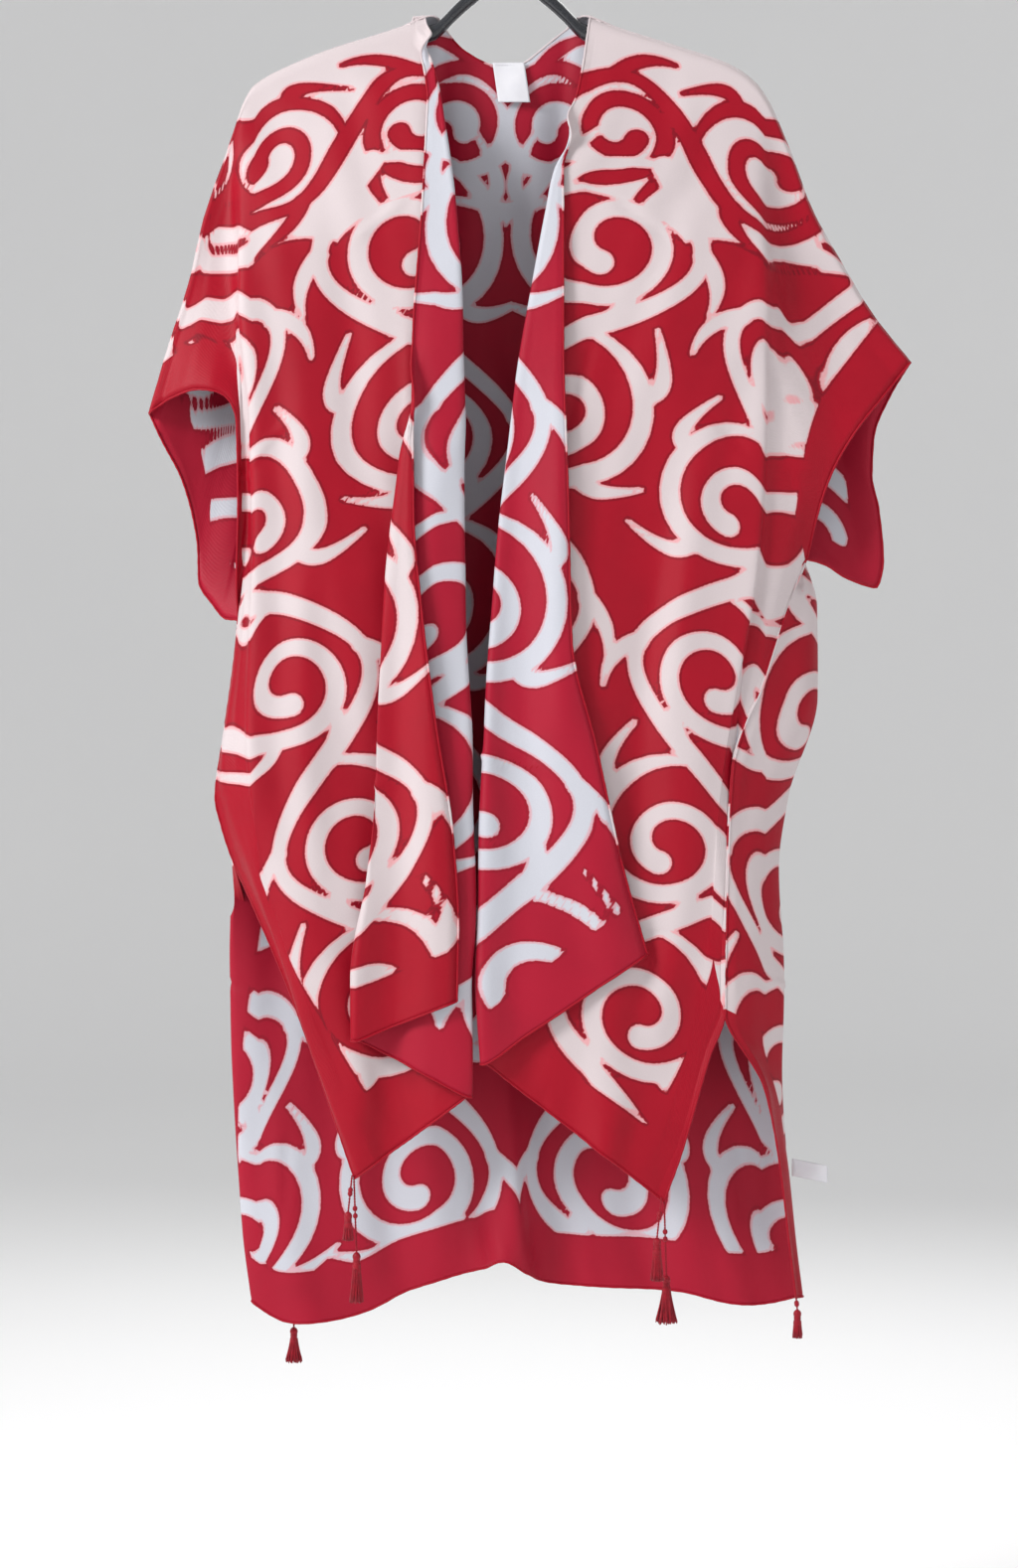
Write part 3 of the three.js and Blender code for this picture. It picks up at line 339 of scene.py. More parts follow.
def back_row(t):
    """One row of the back, from the left rim to the right rim."""
    def side(name):
        spec = BACK[name]
        rim = (at(spec["rim"], 1, t), spread(t, at(spec["rim"], 2, t)), at(spec["rim"], 3, t))
        return rim, tuple(at(spec["turn"], n, t) for n in (1, 2, 3))

    (rim_l, turn_l), (rim_r, turn_r) = side("left"), side("right")
    keep, low = 1 - ease(t / 0.3), ease((t - 0.55) / 0.45)
    neck, s_neck = BACK["neck"], shares(BACK["neck"])
    main_side, main_mid = 5, 10
    first, last = BACK["left"]["turn"][0], BACK["right"]["turn"][0]
    top_l = shoulder_stretch(SHOULDER["left"], first[1], neck[0][0])
    top_r = shoulder_stretch(SHOULDER["right"], neck[-1][0], last[1])
    tops = []
    for i in range(main_side):
        x, z = top_l(i / main_side)
        tops.append((x, SEAM, z))
    for i in range(main_mid + 1):
        tops.append(tuple(along(s_neck, column(neck, n), i / main_mid) for n in range(3)))
    for i in range(1, main_side + 1):
        x, z = top_r(i / main_side)
        tops.append((x, SEAM, z))
    hem_x, hem_z = column(BACK["hem"], 0), column(BACK["hem"], 1)
    main, n_last = [], len(tops) - 1
    for i, (tx, ty, tz) in enumerate(tops):
        f = (tx - tops[0][0]) / (tops[n_last][0] - tops[0][0])
        x = mix(turn_l[0], turn_r[0], f)
        hem = along(hem_x, hem_z, x)
        straight = mix(tz, along(hem_x, hem_z, mix(-223, 249, f)), t)
        both_ends = 1 - min(1, 6 * min(f, 1 - f))
        z = (mix(straight, mix(turn_l[2], turn_r[2], f), both_ends * (1 - keep)) * (1 - low)
             + low * mix(straight, hem, 0.5 * low))
        d = max(0, tz - z)
        free = clamp01(ty / 9.5)
        standing = (stand_off(d, BACK_DEPTH) * (1 - free)
                    + free * mix(ty, BACK_DEPTH, ease(d / DROP_IN)))
        y = max(ty, standing + back_ripple(x, z))
        toward = turn_l[1] if f < 0.5 else turn_r[1]
        near = ease(1 - min(1, min(f, 1 - f) * 9)) * ease(t / 0.1)
        if i in (0, n_last):
            y = max(SEAM, mix(y, toward, ease(t / 0.1)))
            z = mix(z, (turn_l if i == 0 else turn_r)[2], ease(t / 0.06))
        else:
            y = mix(y, toward, near)
        main.append((x, y, z))
    out = 5

    def bend_to(turn, before, rim, top, from_x, to_x):
        chord = math.hypot(rim[0] - turn[0], rim[1] - turn[1])
        flow = (rim[0] - before[0], rim[1] - before[1])
        size = math.hypot(*flow) or 1
        stretch = shoulder_stretch(top, from_x, to_x)
        begin, ends = stretch(0), stretch(1)
        made = []
        for i in range(1, out + 1):
            f = i / out
            h1, h2, base = f ** 3 - 2 * f * f + f, f ** 3 - f * f, 3 * f * f - 2 * f ** 3
            bow = ease(t / 0.12)
            x, y = (mix(mix(turn[n], rim[n], f), mix(turn[n], rim[n], base)
                        + h1 * chord * flow[n] / size + h2 * (rim[n] - turn[n]), bow)
                    for n in (0, 1))
            fx, fz = stretch(f)
            x += keep * (fx - mix(begin[0], ends[0], f))
            z = mix(turn[2], rim[2], f) + keep * (fz - mix(begin[1], ends[1], f))
            if t < 0.3:
                y = max(SEAM, mix(rim[1], mix(turn[1], rim[1], f), bow * 0.5)
                        + (turn[1] - rim[1]) * 0.5 * (1 - f) * bow
                        + (1 - bow) * (1 - f) * (turn[1] - rim[1]))
            made.append(rim if i == out else (x, y, z))
        return made

    left = bend_to(main[0], main[1], rim_l, SHOULDER["left"], first[1], BACK["left"]["rim"][0][1])
    right = bend_to(main[-1], main[-2], rim_r, SHOULDER["right"], last[1],
                    BACK["right"]["rim"][0][1])
    seam = FRONT["right"]["seam"]
    if seam[0] - 1e-6 <= t <= seam[1] + 1e-6:
        right[-1] = (right[-1][0] + 2 * SEAM, right[-1][1], right[-1][2])
    return left[::-1] + main + right


def fine_shares():
    out = [0.0]
    for a, b in zip(ROWS, ROWS[1:]):
        n = max(2, math.ceil((b - a) / ROW_STEP))
        out += [mix(a, b, i / n) for i in range(1, n + 1)]
    return out


def smooth_across(grid):
    """Rows of points to fine rows, by centripetal curves through them."""
    p = np.array(grid)
    rows, cols, _ = p.shape
    ends = np.concatenate([2 * p[:, :1] - p[:, 1:2], p, 2 * p[:, -1:] - p[:, -2:-1]], axis=1)
    out = [p[:, :1]]
    for k in range(cols - 1):
        a, b, c, d = (ends[:, k + i] for i in range(4))
        d1, d2, d3 = (np.sqrt(np.maximum(np.linalg.norm(v, axis=1), 0.05))[:, None]
                      for v in (b - a, c - b, d - c))
        m1 = d2 * ((b - a) / d1 - (c - a) / (d1 + d2) + (c - b) / d2)
        m2 = d2 * ((c - b) / d2 - (d - b) / (d2 + d3) + (d - c) / d3)
        typical = np.linalg.norm(c - b, axis=1).mean()
        n = int(max(2, math.ceil(typical / COLUMN_STEP)))
        for i in range(1, n + 1):
            f = i / n
            out.append(((2 * f ** 3 - 3 * f * f + 1) * b + (f ** 3 - 2 * f * f + f) * m1
                        + (3 * f * f - 2 * f ** 3) * c + (f ** 3 - f * f) * m2)[:, None])
    return np.concatenate(out, axis=1)


def normals_of(p):
    across = np.gradient(p, axis=1)
    down = np.gradient(p, axis=0)
    n = np.cross(across, down)
    return n / np.maximum(np.linalg.norm(n, axis=2, keepdims=True), 1e-9)


def print_place(p):
    """Where the print lies: level distance along each row, and drop below the shoulder."""
    step = np.hypot(*np.moveaxis(np.diff(p[..., :2], axis=1), 2, 0))
    across = np.concatenate([np.zeros((p.shape[0], 1)), step.cumsum(axis=1)], axis=1)
    top = np.array([shoulder_height(min(x, SHOULDER_END)) for x in np.abs(p[..., 0]).ravel()])
    return across, top.reshape(across.shape) - p[..., 2]


def lengths(p):
    """Distance along each row and down each column."""
    u = np.concatenate([np.zeros((p.shape[0], 1)),
                        np.linalg.norm(np.diff(p, axis=1), axis=2).cumsum(axis=1)], axis=1)
    v = np.concatenate([np.zeros((1, p.shape[1])),
                        np.linalg.norm(np.diff(p, axis=0), axis=2).cumsum(axis=0)], axis=0)
    return u, v


# The print: white running scrolls on red below a white yoke with red scrolls. Each vine sways
# about a line, and a spiral branches into every half wave. Places are distances from the middle
# or opening edge and from the shoulder.
# Vines: line, start, end, period, sway, stroke width, first side, along the shoulder or down
VINES = [(82, 110, 1080, 316, 64, 18, 1, False), (250, 150, 1080, 300, 60, 17, -1, False),
         (412, 130, 1080, 310, 60, 17, 1, False)]
YOKE_VINES = [(84, -20, 560, 236, 44, 16, -1, True)]
YOKE_DEPTH, YOKE_SCALLOP, SCALLOP_WIDTH = 172, 20, 128
SPIRAL_TIGHT, SPIRAL_TURN = 0.145, math.radians(530)


def curve_line(x0, y0, x1, y1, x2, y2, w0, w1, w2):
    """Bent stroke through three points, with its width at each."""
    f = np.linspace(0, 1, 12)
    bend_x, bend_y = 2 * x1 - (x0 + x2) / 2, 2 * y1 - (y0 + y2) / 2
    x = (1 - f) ** 2 * x0 + 2 * f * (1 - f) * bend_x + f * f * x2
    y = (1 - f) ** 2 * y0 + 2 * f * (1 - f) * bend_y + f * f * y2
    return np.stack([x, y, np.interp(f, [0, 0.5, 1], [w0 / 2, w1 / 2, w2 / 2])], axis=1)


def vine_lines(line, start, end, period, sway, stroke, side, along_shoulder):
    """Stem, spirals and leaves of one vine, as strokes of x, y and half width."""
    f = np.arange(start, end, 7.0)
    phase = 2 * np.pi * (f - start) / period
    stem = np.stack([line + side * sway * np.sin(phase), f,
                     stroke / 2 * (0.92 + 0.16 * np.cos(2 * phase))], axis=1)
    made = [stem]
    for k in range(int((end - start) / (period / 2)) + 1):
        way = side * (1 if k % 2 == 0 else -1)
        zero = start + k * period / 2
        reach = period / 4 * RANDOM.uniform(0.95, 1.03)
        cx, cy = line - way * 7, zero + period / 4
        turn = np.linspace(0, SPIRAL_TURN, 46)
        r = reach * np.exp(-SPIRAL_TIGHT * turn)
        w = stroke / 2 * np.interp(turn, [0, 0.8, 2, 7.5, SPIRAL_TURN], [0.5, 0.9, 1, 0.85, 1.25])
        made.append(np.stack([cx - way * r * np.sin(turn), cy - r * np.cos(turn), w], axis=1))
        for angle, length in ((0.75, 34), (2.35, 38), (3.5, 30)):
            length *= RANDOM.uniform(0.85, 1.15)
            r0, a1 = reach * math.exp(-SPIRAL_TIGHT * angle), angle + 0.12
            a2 = angle - 0.3
            points = []
            for radius, a in ((r0, angle + 0.22), (r0 + length * 0.45, a1), (r0 + length, a2)):
                points += [cx - way * radius * math.sin(a), cy - radius * math.cos(a)]
            made.append(curve_line(*points, stroke * 0.9, stroke * 0.8, 5))
        bulge = line + way * sway
        made.append(curve_line(bulge - way * 2, zero + period / 4 - 12, bulge + way * 17,
                               zero + period / 4 + 8, bulge + way * 22, zero + period / 4 + 36,
                               stroke * 0.9, stroke * 0.75, 5))
    if along_shoulder:
        made = [points[:, [1, 0, 2]] for points in made]
    return made


def ink(u, v, lines):
    """Distance to the nearest stroke's outline, up to 30 mm, negative inside."""
    best = np.full(u.shape, 30.0)
    for line in lines:
        low, high = line[:, :2].min(0) - 38, line[:, :2].max(0) + 38
        near = (u > low[0]) & (u < high[0]) & (v > low[1]) & (v < high[1])
        if not near.any():
            continue
        pu, pv, got = u[near], v[near], best[near]
        for (ax, ay, aw), (bx, by, bw) in zip(line, line[1:]):
            dx, dy = bx - ax, by - ay
            f = np.clip(((pu - ax) * dx + (pv - ay) * dy) / (dx * dx + dy * dy + 1e-9), 0, 1)
            got = np.minimum(got, np.hypot(pu - ax - f * dx, pv - ay - f * dy) - mix(aw, bw, f))
        best[near] = got
    return best


PRINT_LINES = [stroke for row in VINES for stroke in vine_lines(*row)]
YOKE_LINES = [stroke for row in YOKE_VINES for stroke in vine_lines(*row)]


def print_value(u, v, to_border):
    """Distance to the print's white, in mm and negative inside it."""
    u = np.abs(u)
    white = ink(u, v, PRINT_LINES)
    edge = YOKE_DEPTH - YOKE_SCALLOP * np.abs(np.sin(np.pi * u / SCALLOP_WIDTH)) ** 0.7
    yoke = np.maximum((v - edge) * 0.8, -ink(u, v, YOKE_LINES))
    return np.maximum(np.minimum(white, yoke), BORDER - to_border)


# Creases from packing, in the print's places: two ends, then width and height
CREASES = [(30, 640, 110, 618, 3, 0.9), (180, 300, 250, 330, 3, 0.8), (60, 150, 120, 175, 4, 0.9),
           (300, 520, 380, 500, 4, 1.0), (210, 760, 290, 745, 3, 0.8), (120, 420, 128, 520, 4, 0.7),
           (260, 120, 272, 220, 6, 1.0), (340, 200, 360, 330, 6, 1.2), (90, 260, 96, 380, 5, 0.9),
           (30, 900, 150, 890, 3, 0.8), (380, 380, 410, 480, 6, 1.2), (200, 900, 206, 980, 5, 0.9)]


def crumple(u, v):
    """Height of soft folds, small wrinkles and creases."""
    low = np.clip((v - 180) / 500, 0, 1)
    h = (0.6 * np.sin(u / 9 + 2 * np.sin(v / 130)) + 0.35 * np.sin(u / 5.2 - v / 70 + 1.3)
         + 0.3 * np.sin(v / 23 + u / 40) + 2.6 * low * np.sin(u / 15.5 + 1.6 * np.sin(v / 260) + 0.8)
         + 1.1 * np.sin(u / 31 - v / 95) * np.sin(v / 61 + 0.7))
    for x0, y0, x1, y1, width, height in CREASES:
        dx, dy = x1 - x0, y1 - y0
        f = ((np.abs(u) - x0) * dx + (v - y0) * dy) / (dx * dx + dy * dy)
        side = ((np.abs(u) - x0) * dy - (v - y0) * dx) / math.hypot(dx, dy)
        fade = np.clip(4 * np.minimum(f, 1 - f), 0, 1)
        h += 1.7 * height * fade * np.exp(-(side / width) ** 2)
    return h


def mesh_object(name, points, faces, materials, face_material=None, data=None, uv=None):
    mesh = bpy.data.meshes.new(name)
    mesh.from_pydata([tuple(p) for p in np.asarray(points) * MM], [], faces)
    for material in materials:
        mesh.materials.append(material)
    if face_material is not None:
        mesh.polygons.foreach_set("material_index", np.asarray(face_material, np.int32))
    mesh.polygons.foreach_set("use_smooth", np.ones(len(mesh.polygons), bool))
    for key, values in (data or {}).items():
        attribute = mesh.attributes.new(key, "FLOAT", "POINT")
        attribute.data.foreach_set("value", np.asarray(values, np.float32).ravel())
    if uv is not None:
        layer = mesh.uv_layers.new(name="cloth")
        loops = np.zeros(len(mesh.loops), np.int32)
        mesh.loops.foreach_get("vertex_index", loops)
        layer.data.foreach_set("uv", (np.asarray(uv, np.float32) * MM)[loops].ravel())
    mesh.update()
    made = bpy.data.objects.new(name, mesh)
    bpy.context.scene.collection.objects.link(made)
    return made


def grid_faces(rows, cols, offset=0, flip=False):
    i, j = np.meshgrid(np.arange(rows - 1), np.arange(cols - 1), indexing="ij")
    a = (i * cols + j + offset).ravel()
    quads = np.stack([a, a + 1, a + cols + 1, a + cols], axis=1)
    return (quads[:, ::-1] if flip else quads).tolist()


def node_math(tree, operation, a, b=None, clamp=False):
    node = tree.nodes.new("ShaderNodeMath")
    node.operation = operation
    node.use_clamp = clamp
    for i, value in enumerate((a, b)):
        if value is None:
            continue
        if isinstance(value, (int, float)):
            node.inputs[i].default_value = value
        else:
            tree.links.new(value, node.inputs[i])
    return node.outputs[0]


def node_mix(tree, factor, a, b):
    node = tree.nodes.new("ShaderNodeMix")
    node.data_type = "RGBA"
    for socket, value in ((node.inputs[0], factor), (node.inputs[6], a), (node.inputs[7], b)):
        if isinstance(value, (int, float)):
            socket.default_value = value
        elif isinstance(value, tuple):
            socket.default_value = (*value, 1)
        else:
            tree.links.new(value, socket)
    return node.outputs[2]


def node_noise(tree, vector, scale, detail=3):
    node = tree.nodes.new("ShaderNodeTexNoise")
    node.inputs["Scale"].default_value = scale
    node.inputs["Detail"].default_value = detail
    tree.links.new(vector, node.inputs["Vector"])
    return node.outputs["Fac"]


def material_base(name, roughness, sheen=0.0, coat=0.0, specular=0.5):
    material = bpy.data.materials.new(name)
    material.use_nodes = True
    tree = material.node_tree
    shader = tree.nodes["Principled BSDF"]
    shader.inputs["Roughness"].default_value = roughness
    shader.inputs["Sheen Weight"].default_value = sheen
    shader.inputs["Sheen Roughness"].default_value = 0.4
    shader.inputs["Coat Weight"].default_value = coat
    shader.inputs["Specular IOR Level"].default_value = specular
    return material, tree, shader


def add_bump(tree, shader, height, strength, distance):
    bump = tree.nodes.new("ShaderNodeBump")
    bump.inputs["Strength"].default_value = strength
    bump.inputs["Distance"].default_value = distance
    tree.links.new(height, bump.inputs["Height"])
    tree.links.new(bump.outputs["Normal"], shader.inputs["Normal"])


def weave_height(tree, uv, threads):
    """Plain weave: warp and weft ridges of a fine silky cloth."""
    height = None
    for direction in ("X", "Y"):
        wave = tree.nodes.new("ShaderNodeTexWave")
        wave.wave_type = "BANDS"
        wave.bands_direction = direction
        wave.inputs["Scale"].default_value = threads
        wave.inputs["Distortion"].default_value = 0.6
        tree.links.new(uv, wave.inputs["Vector"])
        height = wave.outputs["Fac"] if height is None else node_math(
            tree, "ADD", height, wave.outputs["Fac"])
    return height


def printed_cloth(name, red, white, rim, line):
    material, tree, shader = material_base(name, 0.46, sheen=0.06, specular=0.2)
    uv = tree.nodes.new("ShaderNodeUVMap")
    uv.uv_map = "cloth"
    uv = uv.outputs["UV"]
    attribute = tree.nodes.new("ShaderNodeAttribute")
    attribute.attribute_name = "print"
    wobble = node_math(tree, "MULTIPLY", node_math(
        tree, "SUBTRACT", node_noise(tree, uv, 420), 0.5), 1.1)
    ink_mm = node_math(tree, "ADD", attribute.outputs["Fac"], wobble)
    is_white = node_math(tree, "ADD", node_math(tree, "MULTIPLY", ink_mm, -1.6), 0.5, True)
    rim_mask = node_math(tree, "ADD", node_math(tree, "MULTIPLY", ink_mm, 0.9), 2.0, True)
    line_mask = node_math(tree, "SUBTRACT", 1.15, node_math(
        tree, "ABSOLUTE", node_math(tree, "SUBTRACT", ink_mm, 1.3)), True)
    tone = node_noise(tree, uv, 14, 4)
    red_mix = node_mix(tree, tone, tuple(c * 0.82 for c in red), tuple(c * 1.12 for c in red))
    red_mix = node_mix(tree, node_math(tree, "MULTIPLY", line_mask, 0.75), red_mix, line)
    white_mix = node_mix(tree, tone, tuple(c * 0.93 for c in white), white)
    white_mix = node_mix(tree, rim_mask, white_mix, rim)
    colour = node_mix(tree, is_white, red_mix, white_mix)
    slub = node_noise(tree, uv, 900, 2)
    colour = node_mix(tree, node_math(tree, "MULTIPLY", slub, 0.10), colour, (0.02, 0.0, 0.01))
    tree.links.new(colour, shader.inputs["Base Color"])
    rough = node_math(tree, "ADD", 0.40, node_math(tree, "MULTIPLY", tone, 0.14))
    tree.links.new(rough, shader.inputs["Roughness"])
    add_bump(tree, shader, node_math(tree, "ADD", weave_height(tree, uv, 420), slub), 0.35, 0.0002)
    return material


def label_cloth():
    material, tree, shader = material_base("label_satin", 0.42, sheen=0.2, specular=0.4)
    uv = tree.nodes.new("ShaderNodeUVMap")
    uv.uv_map = "cloth"
    tone = node_noise(tree, uv.outputs["UV"], 60)
    tree.links.new(node_mix(tree, tone, (0.66, 0.66, 0.71), (0.82, 0.81, 0.84)),
                   shader.inputs["Base Color"])
    add_bump(tree, shader, weave_height(tree, uv.outputs["UV"], 500), 0.3, 0.0002)
    return material


def yarn_material():
    material, tree, shader = material_base("tassel_yarn", 0.5, sheen=0.12, specular=0.3)
    place = tree.nodes.new("ShaderNodeTexCoord").outputs["Object"]
    tone = node_noise(tree, place, 260)
    tree.links.new(node_mix(tree, tone, (0.16, 0.0, 0.008), (0.42, 0.003, 0.018)),
                   shader.inputs["Base Color"])
    add_bump(tree, shader, node_noise(tree, place, 1400), 0.5, 0.0004)
    return material


def plastic_material():
    material, tree, shader = material_base("black_plastic", 0.22, coat=0.4, specular=0.5)
    place = tree.nodes.new("ShaderNodeTexCoord").outputs["Object"]
    tone = node_noise(tree, place, 30, 5)
    tree.links.new(node_mix(tree, tone, (0.008, 0.009, 0.012), (0.022, 0.024, 0.03)),
                   shader.inputs["Base Color"])
    scuff = node_noise(tree, place, 220, 6)
    tree.links.new(node_math(tree, "ADD", 0.14, node_math(tree, "MULTIPLY", scuff, 0.22)),
                   shader.inputs["Roughness"])
    add_bump(tree, shader, node_noise(tree, place, 90), 0.08, 0.0005)
    return material


CLOTH_RIGHT = printed_cloth("cloth_right_side", (0.37, 0.0, 0.013), (0.68, 0.59, 0.60),
                            (0.76, 0.38, 0.40), (0.17, 0.0, 0.008))
CLOTH_WRONG = printed_cloth("cloth_wrong_side", (0.40, 0.005, 0.026), (0.61, 0.62, 0.68),
                            (0.68, 0.40, 0.45), (0.26, 0.003, 0.016))
LABEL = label_cloth()
YARN = yarn_material()
PLASTIC = plastic_material()


def tube_points(points, radii, sides):
    """Vertices and faces of a round tube along points, with closed ends."""
    p = np.asarray(points, float)
    run = np.gradient(p, axis=0)
    run /= np.maximum(np.linalg.norm(run, axis=1, keepdims=True), 1e-9)
    helper = np.where(np.abs(run[:, 1:2]) > 0.9, [[1.0, 0, 0]], [[0, 1.0, 0]])
    up = np.cross(helper, run)
    up /= np.maximum(np.linalg.norm(up, axis=1, keepdims=True), 1e-9)
    across = np.cross(run, up)
    a = np.linspace(0, 2 * np.pi, sides, endpoint=False)
    r = np.broadcast_to(np.asarray(radii, float), (len(p),))[:, None, None]
    ring = (np.cos(a)[None, :, None] * across[:, None] + np.sin(a)[None, :, None] * up[:, None])
    vertices = (p[:, None] + r * ring).reshape(-1, 3)
    faces = []
    for i in range(len(p) - 1):
        for k in range(sides):
            j = (k + 1) % sides
            faces.append([i * sides + k, i * sides + j, (i + 1) * sides + j, (i + 1) * sides + k])
    faces.append(list(range(sides))[::-1])
    faces.append([(len(p) - 1) * sides + k for k in range(sides)])
    return vertices, faces


def gather(parts):
    """Several (vertices, faces) as one."""
    vertices, faces, offset = [], [], 0
    for v, f in parts:
        vertices.append(v)
        faces += [[i + offset for i in face] for face in f]
        offset += len(v)
    return np.concatenate(vertices), faces


def finished(piece, slot_name, *nodes):
    """Puts a piece on the root body and hides the solids that it stands for; slot_name, its finish,
    is not used.
    """
    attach(piece, "root")
    if nodes:
        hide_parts(*nodes)
    return piece


def distance_to_rim(u, share, cuffs):
    """Distance to the first or last column, only in the given shares of the length."""
    distance = np.full(u.shape, FAR_FROM_RIM)
    for at_first, (start, end) in cuffs:
        inside = (share >= start) & (share <= end)
        distance = np.where(inside, np.minimum(distance, u if at_first else u[:, -1:] - u), distance)
    return distance


def shell_faces(rows, cols):
    """Faces of a thin closed shell, and 1 for each that is on its second face."""
    size = rows * cols
    faces = grid_faces(rows, cols) + grid_faces(rows, cols, size, True)
    half = (rows - 1) * (cols - 1)
    marks = [0] * half + [1] * half
    for i in range(rows - 1):
        for j, turn in ((0, False), (cols - 1, True)):
            a, b = i * cols + j, (i + 1) * cols + j
            quad = [a, b, b + size, a + size]
            faces.append(quad[::-1] if turn else quad)
    for j in range(cols - 1):
        for i, turn in ((0, True), (rows - 1, False)):
            a = i * cols + j
            quad = [a, a + 1, a + 1 + size, a + size]
            faces.append(quad[::-1] if turn else quad)
    return faces, marks + [0] * (len(faces) - len(marks))


def rolled_hem(name, base, ink_mm, place):
    """Bead along all four edges of a panel, in the print's colours."""
    parts, inks, places = [], [], []
    for edge in (np.s_[:, 0], np.s_[-1], np.s_[:, -1], np.s_[0]):
        wobble = 0.95 + 0.12 * np.sin(np.arange(len(base[edge])) * 1.9)
        parts.append(tube_points(base[edge], wobble, HEM_SIDES))
        inks.append(np.repeat(ink_mm[edge], HEM_SIDES))
        places.append(np.repeat(place[edge], HEM_SIDES, axis=0))
    vertices, faces = gather(parts)
    piece = mesh_object(name, vertices, faces, [CLOTH_RIGHT], None,
                        {"print": np.concatenate(inks)}, np.concatenate(places))
    return finished(piece, "printed_cloth")


def panel(name, node, row_function, middle, right_side_first, cuffs):
    """A printed panel and its hem, with the panel's mean length and its area."""
    t = fine_shares()
    base = smooth_across([row_function(share) for share in t])
    u, v = lengths(base)
    across, drop = print_place(base)
    if middle:
        centre = int(np.argmin(np.abs(base[0, :, 0])))
        across = across - across[:, centre:centre + 1]
    length = v[-1:]
    share = np.array(t)[:, None] * np.ones((1, base.shape[1]))
    to_border = np.minimum(length - v, distance_to_rim(u, share, cuffs))
    ink_mm = print_value(across, drop, to_border)
    calm = np.clip(share / 0.06, 0, 1) * np.clip(np.minimum(u, u[:, -1:] - u) / 8, 0, 1)
    base = base + normals_of(base) * (crumple(across, drop) * calm)[..., None]
    normal = normals_of(base) * CLOTH_HALF
    points = np.concatenate([(base + normal).reshape(-1, 3), (base - normal).reshape(-1, 3)])
    faces, marks = shell_faces(*u.shape)
    materials = [CLOTH_RIGHT, CLOTH_WRONG] if right_side_first else [CLOTH_WRONG, CLOTH_RIGHT]
    place = np.stack([across, drop], axis=2)
    flat = place.reshape(-1, 2)
    piece = mesh_object(name, points, faces, materials, marks,
                        {"print": np.tile(ink_mm.ravel(), 2)}, np.concatenate([flat, flat]))
    finished(piece, "printed_cloth", node)
    hem = rolled_hem(name + "_hem", base, ink_mm, place)
    return piece, hem, float(length.mean()), area_of(base)


def area_of(p):
    a, b, c, d = p[:-1, :-1], p[:-1, 1:], p[1:, 1:], p[1:, :-1]
    return float((np.linalg.norm(np.cross(b - a, c - a), axis=2)
                  + np.linalg.norm(np.cross(c - a, d - a), axis=2)).sum() / 2)


def make_panels():
    """The two fronts and the back, with the stretches of each rim that are free."""
    return (
        panel("front_left_cloth", "front_left", lambda t: front_row("left", t), False, True,
              [(False, (0, 0.35)), (False, (0.62, 1))]),
        panel("front_right_cloth", "front_right", lambda t: front_row("right", t), False, False,
              [(False, (0, 0.27)), (False, (0.78, 1))]),
        panel("back_cloth", "back", back_row, True, True,
              [(True, (0, 0.35)), (False, (0, 0.27)), (True, (0.62, 1)), (False, (0.78, 1))]),
    )


def label(name, node, corners, rows, cols, bow):
    """Blank cloth label between four corners."""
    a, b, c, d = (np.array(p, float) for p in corners)
    grid = np.zeros((rows + 1, cols + 1, 3))
    for i in range(rows + 1):
        for j in range(cols + 1):
            f, g = i / rows, j / cols
            grid[i, j] = mix(mix(a, b, g), mix(d, c, g), f)
            grid[i, j, 1] += bow * math.sin(math.pi * f / 2) + 0.4 * math.sin(5 * g + 2 * f)
    n = normals_of(grid)
    n = n * LABEL_HALF
    points = np.concatenate([(grid + n).reshape(-1, 3), (grid - n).reshape(-1, 3)])
    size = (rows + 1) * (cols + 1)
    faces = grid_faces(rows + 1, cols + 1) + grid_faces(rows + 1, cols + 1, size, True)
    ring = ([j for j in range(cols)] + [(i + 1) * (cols + 1) - 1 for i in range(rows)]
            + [size - 1 - j for j in range(cols)] + [(rows - i) * (cols + 1) for i in range(rows)])
    for p, q in zip(ring, ring[1:] + ring[:1]):
        faces.append([q, p, p + size, q + size])
    u, v = lengths(grid)
    flat = np.stack([u.ravel(), v.ravel()], axis=1)
    piece = mesh_object(name, points, faces, [LABEL], None, None, np.concatenate([flat, flat]))
    return finished(piece, "label_cloth", node)


def stitches(name, start, end, spacing, radius):
    """A row of short stitches on a label, from start to end."""
    start, end = np.array(start, float), np.array(end, float)
    length = np.linalg.norm(end - start)
    run = (end - start) / length
    parts = []
    for i in range(int(length / spacing)):
        at_point = start + run * (spacing * (i + 0.5))
        line = [at_point + run * s for s in (-0.34 * spacing, 0, 0.34 * spacing)]
        parts.append(tube_points(line, [radius * 0.6, radius, radius * 0.6], 6))
    vertices, faces = gather(parts)
    return finished(mesh_object(name, vertices, faces, [LABEL]), "label_cloth")


